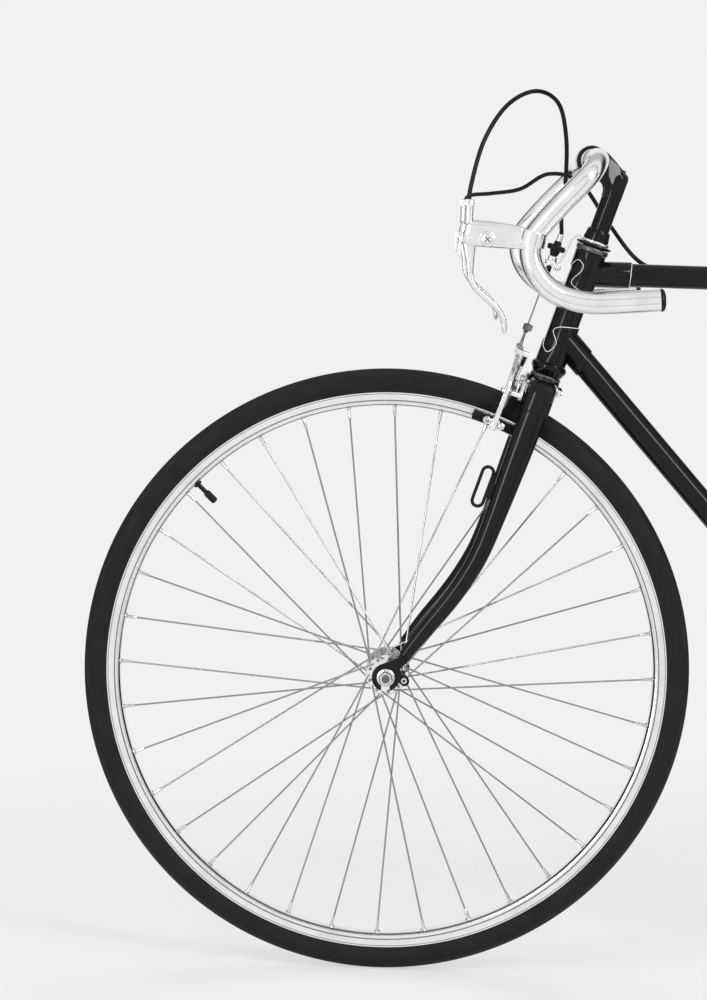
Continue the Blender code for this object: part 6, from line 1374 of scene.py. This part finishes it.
def cranks():
    """Both cranks with pedal spindles, the right one with its spider, and their bolts."""
    for side, name in SIDES:
        body = "crank_set"
        direction = Vector((-side, 0, 0))
        middle = BRACKET + RIGHT * side * 0.0625
        rows = [(0.0, 0.0140, 0.0065), (0.020, 0.0142, 0.0065), (0.045, 0.0122, 0.0064),
                (0.080, 0.0112, 0.0062), (0.120, 0.0108, 0.0060), (0.150, 0.0114, 0.0062),
                (0.166, 0.0125, 0.0065), (0.176, 0.0116, 0.0064), (0.1815, 0.0070, 0.0060)]
        new_piece()
        add_bar(fine_stations([(tuple(middle + direction * far), d, t) for far, d, t in rows], 3), RIGHT,
                squareness=0.62)
        add_turned([(0.0090, 0.0465), (0.0158, 0.0465), (0.0165, 0.0472), (0.0165, 0.0690),
                    (0.0155, 0.0705), (0.0115, 0.0705), (0.0112, 0.0665), (0.0090, 0.0660)], BRACKET,
                   RIGHT * side, 56)
        end = BRACKET + direction * 0.170
        add_rod(end + RIGHT * side * 0.0560, end + RIGHT * side * 0.1590, 0.0050, sides=28)
        if side > 0:
            face = 0.0446
            for arm in range(5):
                angle = math.pi + math.tau * (arm + 0.5) / 5
                out = out_at(angle)
                add_bar([(BRACKET + RIGHT * (face + 0.0026) + out * far, half, t) for far, half,
                         t in ((0.012, 0.0090, 0.0028), (0.030, 0.0072, 0.0026), (0.058, 0.0050, 0.0022),
                               (0.0705, 0.0046, 0.0020))], RIGHT, squareness=0.6)
                add_bolt(BRACKET + RIGHT * (face + 0.0046) + out * 0.0675, RIGHT, 0.0038, 0.0018, 20)
            add_turned([(0.0120, face), (0.0215, face), (0.0220, face + 0.0006), (0.0212, face + 0.0056),
                        (0.0120, face + 0.0060)], BRACKET, RIGHT, 56)
        finish(name + "_crank_fine", body, ALLOY, (name + "_crank",), 35, 0.0005)
        new_piece()
        add_bolt(BRACKET + RIGHT * side * 0.0662, RIGHT * side, 0.0068, 0.0032, 6)
        add_turned([(0, 0.0664), (0.0104, 0.0664), (0.0104, 0.0674), (0, 0.0674)], BRACKET, RIGHT * side,
                   36, False)
        finish(name + "_crank_bolt", body, PLATED, (), 35, 0.0002)
        pedal(name, side, end + RIGHT * side * 0.121)


def pedal(name, side, centre):
    """A cage pedal: a waisted barrel, two cross plates and two toothed side plates."""
    new_piece()
    add_turned([(0.0061, -0.0428), (0.0096, -0.0428), (0.0104, -0.0418), (0.0104, -0.0330),
                (0.0088, -0.0300), (0.0080, 0.0180), (0.0095, 0.0215), (0.0104, 0.0230), (0.0104, 0.0390),
                (0.0092, 0.0420), (0.0060, 0.0425), (0.0060, 0.0400), (0.0061, 0.0398)], centre,
               RIGHT * side, 48)
    for offset in (-0.0370, 0.0310):
        add_block(centre + RIGHT * side * offset, Matrix.Identity(3), (0.0600, 0.0028, 0.0140))
    for across in (-0.0310, 0.0310):
        edge = [(-0.0428, -0.0060), (-0.0360, -0.0110)]
        edge += [(-0.0300 + 0.0060 * tooth, -0.0118 if tooth % 2 else -0.0096) for tooth in range(11)]
        edge += [(0.0360, -0.0110), (0.0428, -0.0060)]
        outline = edge + [(y, -z) for y, z in edge[::-1]]
        place = placement((0, 1, 0), (0, 0, 1), (1, 0, 0), centre + Vector((across, 0, 0)))
        add_plate(outline, 0.0021, place)
    for across in (-0.0310, 0.0310):
        for offset in (-0.0370, 0.0310):
            add_bolt(centre + Vector((across * 1.03, side * offset, 0)), (math.copysign(1, across), 0, 0),
                     0.0030, 0.0014, 12)
    finish(name + "_pedal_fine", name + "_pedal", PEDAL, (name + "_pedal",), 35, 0.0003)


def seat_pillar():
    """The post, its clamp with serrated cheeks, and the rails."""
    new_piece()
    add_turned([(0, 0.6715), (0.0104, 0.6715), (0.0110, 0.6710), (0.0110, 0.6385), (0.0133, 0.6330),
                (0.0133, 0.4700), (0, 0.4700)], BRACKET, SEAT_UP, 64, False)
    finish("seat_post_fine", "frame", ALLOY, ("seat_post",), 35, 0.0003)
    centre = seat_point(SADDLE_CLAMP)
    new_piece()
    add_turned([(0.0112, 0.6462), (0.0145, 0.6462), (0.0150, 0.6467), (0.0150, 0.6725), (0.0144, 0.6730),
                (0.0112, 0.6730)], BRACKET, SEAT_UP, 48)
    add_rod(centre - RIGHT * 0.0345, centre + RIGHT * 0.0345, 0.0038, sides=24)
    for side in (-1, 1):
        add_turned([(0, 0.0120), (0.0136, 0.0120), (0.0140, 0.0124), (0.0140, 0.0178), (0.0120, 0.0184),
                    (0.0120, 0.0190), (0.0140, 0.0196), (0.0140, 0.0306), (0.0132, 0.0312), (0, 0.0312)],
                   centre, RIGHT * side, 48, False)
        add_bolt(centre + RIGHT * side * 0.0312, RIGHT * side, 0.0064, 0.0046, 6)
    finish("seat_clamp_fine", "frame", PLATED, ("seat_clamp",), 35, 0.0002)
    half = [(0.105, 0.0300, 0.0290), (0.085, 0.0280, 0.0200), (0.055, 0.0220, 0.0085),
            (0.030, 0.0220, 0.0085), (-0.030, 0.0220, 0.0085), (-0.060, 0.0165, 0.0120),
            (-0.115, 0.0120, 0.0250), (-0.135, 0.0080, 0.0285), (-0.141, 0.0, 0.0290)]
    route = [(x, -y, z) for x, y, z in half] + [(x, y, z) for x, y, z in half[-2::-1]]
    new_piece()
    add_tube([centre + Vector(spot) for spot in smooth_route(route, 5)], 0.0035, 16)
    finish("saddle_rails_fine", "frame", PLATED, ("saddle_rails",), 50)


def chain_pins():
    """Centres of the chain's pins along its closed path, in mesh with both toothed wheels."""
    rise = math.asin((REAR_AXLE.z - BRACKET.z) / (REAR_AXLE - BRACKET).length)
    ring, sprocket = (CHAIN_PITCH / (2 * math.sin(math.pi / teeth))
                      for teeth in (RING_TEETH, SPROCKET_TEETH))
    slope = math.asin((ring - sprocket) / (REAR_AXLE - BRACKET).length)
    run = (REAR_AXLE - BRACKET).length * math.cos(slope) / CHAIN_PITCH
    start = rise + math.pi / 2 - slope
    end = start + math.pi + 2 * slope
    round_ring = RING_TEETH * (math.pi + 2 * slope) / math.tau
    round_sprocket = SPROCKET_TEETH * (math.pi - 2 * slope) / math.tau

    def on(centre, radius, angle):
        return centre + Vector((math.cos(angle) * radius, CHAIN_LINE, math.sin(angle) * radius))

    pins = []
    for count in range(CHAIN_LINKS):
        links = float(count)
        if links < round_ring:
            pins.append(on(BRACKET, ring, start + links * math.tau / RING_TEETH))
            continue
        links -= round_ring
        if links < run:
            pins.append(on(BRACKET, ring, end).lerp(on(REAR_AXLE, sprocket, end), links / run))
            continue
        links -= run
        if links < round_sprocket:
            pins.append(on(REAR_AXLE, sprocket, end + links * math.tau / SPROCKET_TEETH))
            continue
        pins.append(on(REAR_AXLE, sprocket, start).lerp(on(BRACKET, ring, start),
                                                        (links - round_sprocket) / run))
    return pins


def chain():
    """An outer and an inner link, each modelled once and copied along the path."""
    outline = circle((0, 0), 0.0041, 7, 70, 290) + [(CHAIN_PITCH / 2, -0.0029)]
    outline += circle((CHAIN_PITCH, 0), 0.0041, 7, -110, 110) + [(CHAIN_PITCH / 2, 0.0029)]
    patterns = []
    for beside, round_radius, reach in ((0.0038, 0.0019, 0.0047), (0.0027, 0.0038, 0.0024)):
        new_piece()
        for side in (-1, 1):
            add_plate(outline, 0.0009, side_view(side * beside))
        for pin in (0.0, CHAIN_PITCH):
            add_rod((pin, -reach, 0), (pin, reach, 0), round_radius, sides=10)
        patterns.append(close_piece())
    pins = chain_pins()
    copies = []
    for index, pin in enumerate(pins):
        ahead = (pins[(index + 1) % CHAIN_LINKS] - pin).normalized()
        bpy.ops.object.select_all(action="DESELECT")
        patterns[index % 2].select_set(True)
        bpy.ops.object.duplicate(linked=False)
        link = bpy.context.selected_objects[0]
        link.matrix_world = placement(ahead, RIGHT, ahead.cross(RIGHT), pin)
        copies.append(link)
    new_piece()
    bpy.ops.object.mode_set(mode="OBJECT")
    for link in copies:
        link.select_set(True)
    bpy.ops.object.join()
    for pattern in patterns:
        bpy.data.objects.remove(pattern)
    bpy.ops.object.mode_set(mode="EDIT")
    finish("chain_links", "frame", DARK, ("chain",), 35)


cranks()
chain()
seat_pillar()


# Brake housings

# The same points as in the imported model: back from the bar's centre, up, and out to the lever's side
FRONT_ROUTE = [(-0.1375, -0.0575, 0.190), (-0.1368, -0.0350, 0.190), (-0.1240, 0.0150, 0.180),
               (-0.1000, 0.0540, 0.156), (-0.0690, 0.0710, 0.122), (-0.0430, 0.0600, 0.088),
               (-0.0320, 0.0250, 0.064), (-0.0295, -0.0200, 0.040), (-0.0312, -0.0640, 0.012)]
REAR_ROUTE = [(-0.1375, -0.0575, 0.190), (-0.1330, -0.0430, 0.187), (-0.1060, -0.0390, 0.165),
              (-0.0740, -0.0330, 0.132), (-0.0430, -0.0150, 0.098), (-0.0080, -0.0240, 0.066),
              (0.0250, -0.0700, 0.036), (0.0560, -0.1080, 0.020)]


def rear_housing_route():
    """From the right lever over to the top tube, along it and down to the rear brake."""
    beside = TOP_TUBE + HOUSING_RADIUS + 0.0006
    route = [BAR_CENTRE + Vector((x, y, z)) for x, z, y in REAR_ROUTE]
    lug_end = steer(TOP_JOINT) + Vector((TOP_SOCKET_LENGTH, 0, 0))
    cluster = seat_point(CLUSTER)
    stop = REAR_SEAT.at(0, 0.100 + 0.030 + 0.0007, 0.0233 + 0.0078)
    by_lug = ((0.040, 0.0010, 0.0040), (0.075, 0, 0), (0.110, 0, 0))
    by_cluster = ((-0.115, 0, 0), (-0.080, 0, 0), (-0.052, 0.0060, 0.0130), (-0.026, 0.0140, 0.0310),
                  (0, 0.0150, 0.0430))
    route += [lug_end + Vector((x, beside + y, z)) for x, y, z in by_lug]
    route += [cluster + Vector((x, beside + y, z)) for x, y, z in by_cluster]
    route += [stop + Vector((-0.027, 0.019, 0.0440)), stop + Vector((-0.0145, 0.005, 0.0280))]
    return route + [stop + REAR_SEAT.up * 0.012, stop]


def ferrule(end, heading):
    """The metal cap on a housing's end."""
    add_turned([(0.0008, 0.0), (0.0030, 0.0), (0.0034, 0.0006), (0.0034, 0.0092), (0.0031, 0.0102),
                (0.0025, 0.0104)], end, heading, 28)


def housings():
    """Both brake housings with their ferrules and the top tube's clips."""
    front = [BAR_CENTRE + Vector((x, -y, z)) for x, z, y in FRONT_ROUTE]
    front += [steer(0.516, WIRE_ACROSS), steer(0.5047, WIRE_ACROSS)]
    new_piece()
    add_tube(smooth_route(front, 12), HOUSING_RADIUS, 16)
    finish("front_housing", "fork", HOUSING, ("front_brake_cable",), 60)
    new_piece()
    ferrule(front[-1], STEER_UP)
    ferrule(BAR_CENTRE + Vector((-0.1375, 0.190, -0.0575)), Vector((0.12, 0, 1)))
    finish("fork_ferrules", "fork", PLATED, (), 35)

    rear = rear_housing_route()
    new_piece()
    add_tube(smooth_route(rear, 12), HOUSING_RADIUS, 16)
    housing = finish("rear_housing", None, HOUSING, ("rear_brake_cable",), 60)
    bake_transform(housing)
    new_piece()
    ferrule(rear[-1], REAR_SEAT.up)
    for x in (0.110, 0.250, 0.395):
        centre = steer(TOP_JOINT) + Vector((TOP_SOCKET_LENGTH + x, 0, 0))
        add_turned([(0.01315, -0.0024), (0.0138, -0.0024), (0.0138, 0.0024), (0.01315, 0.0024)], centre,
                   (1, 0, 0), 40)
        add_turned([(0.0025, -0.0024), (0.0032, -0.0024), (0.0032, 0.0024), (0.0025, 0.0024)],
                   Vector((centre.x, 0.0161, centre.z)), (1, 0, 0), 24)
    finish("top_tube_clips", "frame", PLATED, (), 35)


housings()


# Saddle

def saddle():
    """The padded saddle and its rivets."""
    clamp = seat_point(SADDLE_CLAMP)
    floor = clamp.z + 0.0290 + 0.0035 + 0.0003
    rows = [(-0.1522, 0.0090, 0.0095, 0.008), (-0.1490, 0.0165, 0.0160, 0.013),
            (-0.1420, 0.0202, 0.0212, 0.017), (-0.1150, 0.0227, 0.0244, 0.020),
            (-0.0600, 0.0272, 0.0240, 0.022), (-0.0100, 0.0382, 0.0230, 0.020),
            (0.0350, 0.0575, 0.0250, 0.019), (0.0750, 0.0722, 0.0288, 0.018),
            (0.1050, 0.0740, 0.0309, 0.017), (0.1180, 0.0672, 0.0275, 0.0135),
            (0.1245, 0.0540, 0.0225, 0.008), (0.1262, 0.0400, 0.0190, 0.005)]
    rows = smooth_route(rows, 5)
    rim = [(0.995, 0.35), (0.975, 0.75), (0.955, 1.0), (0.90, 1.03), (0.84, 0.9), (0.82, 0.3), (0.80, 0.0)]
    new_piece()
    rings = []
    for x, half_width, height, skirt in rows:
        ring = []
        for step in range(33):
            angle = math.pi * step / 32
            side = math.cos(angle)
            dip = 0.0016 * math.exp(-(side / 0.22) ** 2) * min(max((x + 0.02) / 0.08, 0), 1)
            ring.append(Vector((clamp.x + x, half_width * math.copysign(abs(side) ** 0.92, side),
                                floor + height * math.sin(angle) ** 0.62 - dip)))
        for share, drop in [(-share, drop) for share, drop in rim] + rim[::-1]:
            ring.append(Vector((clamp.x + x, half_width * share, floor - skirt * drop)))
        rings.append(ring)
    skin(rings)
    cover = finish("saddle_cover", "frame", HIDE, ("saddle",), 50)
    new_piece()
    for side in (-1, 1):
        for x, half_width, height in ((0.108, 0.066, 0.021), (0.090, 0.0665, 0.0185)):
            add_ball(Vector((clamp.x + x, side * half_width * 0.93, floor + height * 0.85)), 0.0044,
                     (1, 1, 0.45))
    finish("saddle_rivets", "frame", PLATED, (), 40)


saddle()


# Light, floor and camera

def studio_world():
    """Pale all round. Metal and glass see it too, with narrow dark rings that draw their edges."""
    world = bpy.data.worlds.new("studio")
    bpy.context.scene.world = world
    world.use_nodes = True
    nodes, links = world.node_tree.nodes, world.node_tree.links
    shader = nodes["Background"]
    shader.inputs["Color"].default_value = (PALE, PALE, PALE * 1.004, 1)

    def join(operation, first, second):
        node = nodes.new("ShaderNodeMath")
        node.operation = operation
        for socket, value in zip(node.inputs, (first, second)):
            if hasattr(value, "links"):
                links.new(value, socket)
            else:
                socket.default_value = value
        return node.outputs["Value"]

    def span(value, low, high, start, end):
        node = nodes.new("ShaderNodeMapRange")
        node.interpolation_type = "SMOOTHSTEP"
        links.new(value, node.inputs["Value"])
        for name, number in (("From Min", start), ("From Max", end), ("To Min", low), ("To Max", high)):
            node.inputs[name].default_value = number
        return node.outputs["Result"]

    path = nodes.new("ShaderNodeLightPath")
    heading = nodes.new("ShaderNodeSeparateXYZ")
    links.new(nodes.new("ShaderNodeTexCoord").outputs["Generated"], heading.inputs["Vector"])

    def ring(value, middle, half, strength):
        away = join("ABSOLUTE", join("SUBTRACT", value, middle), 0.0)
        return join("MULTIPLY", span(away, 1, 0, half * 0.4, half), strength)

    cloud = nodes.new("ShaderNodeTexNoise")
    cloud.inputs["Scale"].default_value = 3.0
    links.new(heading.inputs["Vector"].links[0].from_socket, cloud.inputs["Vector"])
    broken = span(cloud.outputs["Fac"], 0.15, 1, 0.38, 0.6)
    edge = ring(heading.outputs["Y"], 0.50, 0.36, 0.97)
    streak = join("MULTIPLY", ring(heading.outputs["Y"], -0.10, 0.14, 0.90), broken)
    rear = ring(heading.outputs["Y"], -0.80, 0.07, 0.45)
    overhead = span(heading.outputs["Z"], 1, 0.4, 0.45, 0.8)
    dark = join("MULTIPLY", join("MAXIMUM", join("MAXIMUM", edge, streak), rear), overhead)
    mirrored = join("MULTIPLY", path.outputs["Is Glossy Ray"], join("SUBTRACT", 1.0, dark))
    seen = join("MAXIMUM", join("MAXIMUM", path.outputs["Is Camera Ray"],
                                path.outputs["Is Transmission Ray"]), mirrored)
    softer = join("SUBTRACT", 1.0, path.outputs["Is Glossy Ray"])
    base = join("MULTIPLY", softer, WORLD_LEVEL)
    links.new(join("MAXIMUM", base, seen), shader.inputs["Strength"])


def lamp(name, place, target, size, power, along=(0, 0, 1), mirrored=True):
    """An area lamp aimed at a target; its long side may run along a direction."""
    toward = (Vector(place) - Vector(target)).normalized()
    bpy.ops.object.light_add(type="AREA", location=place, rotation=facing(toward, along).to_euler())
    thing = bpy.context.object
    thing.name = name
    thing.data.shape = "RECTANGLE"
    thing.data.size, thing.data.size_y = size
    thing.data.energy = power
    thing.visible_glossy = mirrored
    return thing


def pale_floor():
    """A floor that keeps the shadow near the bicycle and clears into the pale surroundings further off."""
    new_piece()
    bpy.ops.mesh.primitive_grid_add(x_subdivisions=8, y_subdivisions=8, size=14, location=(0, 0, -0.0004))
    floor = close_piece()
    floor.name = "floor"
    material = principled("pale_floor", (FLOOR, FLOOR, FLOOR), 0.95, Specular_IOR_Level=0.1)
    n = Nodes(material)
    n.link(n.mix(n.span(n.noise(3, 3).outputs["Fac"], 0, 1, 0.3, 0.7), (FLOOR * 0.99,) * 3 + (1,),
                 (FLOOR, FLOOR, FLOOR, 1)), "Base Color")
    path = n.add("LightPath")
    glow = n.add("Emission", {"Color": (PALE, PALE, PALE, 1), "Strength": 1.0})
    near = n.add("MixShader", {0: n.math("MULTIPLY", path.outputs["Is Camera Ray"], 0.62),
                               1: n.shader.outputs["BSDF"], 2: glow.outputs["Emission"]})
    flat = n.add("VectorMath", {0: n.coords.outputs["Object"], 1: (0.85, 1.0, 0.0)}, operation="MULTIPLY")
    distance = n.add("VectorMath", {0: flat.outputs["Vector"]}, operation="LENGTH")
    clear = n.add("BsdfTransparent")
    fade = n.add("MixShader", {0: n.span(distance.outputs["Value"], 0, 1, 0.75, 1.5),
                               1: near.outputs["Shader"], 2: clear.outputs["BSDF"]})
    output = [node for node in material.node_tree.nodes if node.type == "OUTPUT_MATERIAL"][0]
    material.node_tree.links.new(fade.outputs["Shader"], output.inputs["Surface"])
    floor.data.materials.append(material)
    return floor


def stage():
    """World, lamps and floor."""
    studio_world()
    lights = [lamp("key_light", (-2.6, -3.4, 3.8), (-0.2, 0, 0.5), (2.6, 2.6), 85, mirrored=False),
              lamp("fill_light", (3.0, -3.0, 2.4), (0, 0, 0.5), (2.6, 2.6), 35, mirrored=False),
              lamp("back_light", (0.4, 3.2, 3.4), (0, 0, 0.5), (3.0, 2.0), 60, mirrored=False),
              lamp("tube_strip", (1.71, -2.36, 2.14), (-0.1, 0, 0.5), (0.60, 2.4), 42, (0.671, 0, -0.741)),
              lamp("blade_strip", (-2.06, -2.81, 1.15), (-0.42, 0, 0.62), (0.50, 2.4), 34, STEER_UP)]
    pale_floor()


def camera():
    """The photograph's camera."""
    yaw, pitch, roll = math.radians(1.28), math.radians(5.48), math.radians(1.85)
    ahead = Vector((-math.sin(yaw) * math.cos(pitch), math.cos(yaw) * math.cos(pitch), -math.sin(pitch)))
    right = Vector((math.cos(yaw), math.sin(yaw), 0))
    up = right.cross(ahead)

    def tilt(v):
        return Vector((v.x * math.cos(roll) - v.z * math.sin(roll), v.y,
                       v.x * math.sin(roll) + v.z * math.cos(roll)))

    ahead, right, up = tilt(ahead), tilt(right), tilt(up)
    data = bpy.data.cameras.new("photo_camera")
    data.sensor_width = 36
    data.lens = 3061.4 * 36 / 1000
    thing = bpy.data.objects.new("photo_camera", data)
    thing.matrix_world = Matrix(((right.x, up.x, -ahead.x, -0.4939), (right.y, up.y, -ahead.y, -3.4585),
                                 (right.z, up.z, -ahead.z, 0.8730), (0, 0, 0, 1)))
    bpy.context.scene.collection.objects.link(thing)
    bpy.context.scene.camera = thing


stage()
camera()
bpy.context.scene.view_settings.view_transform = "Standard"
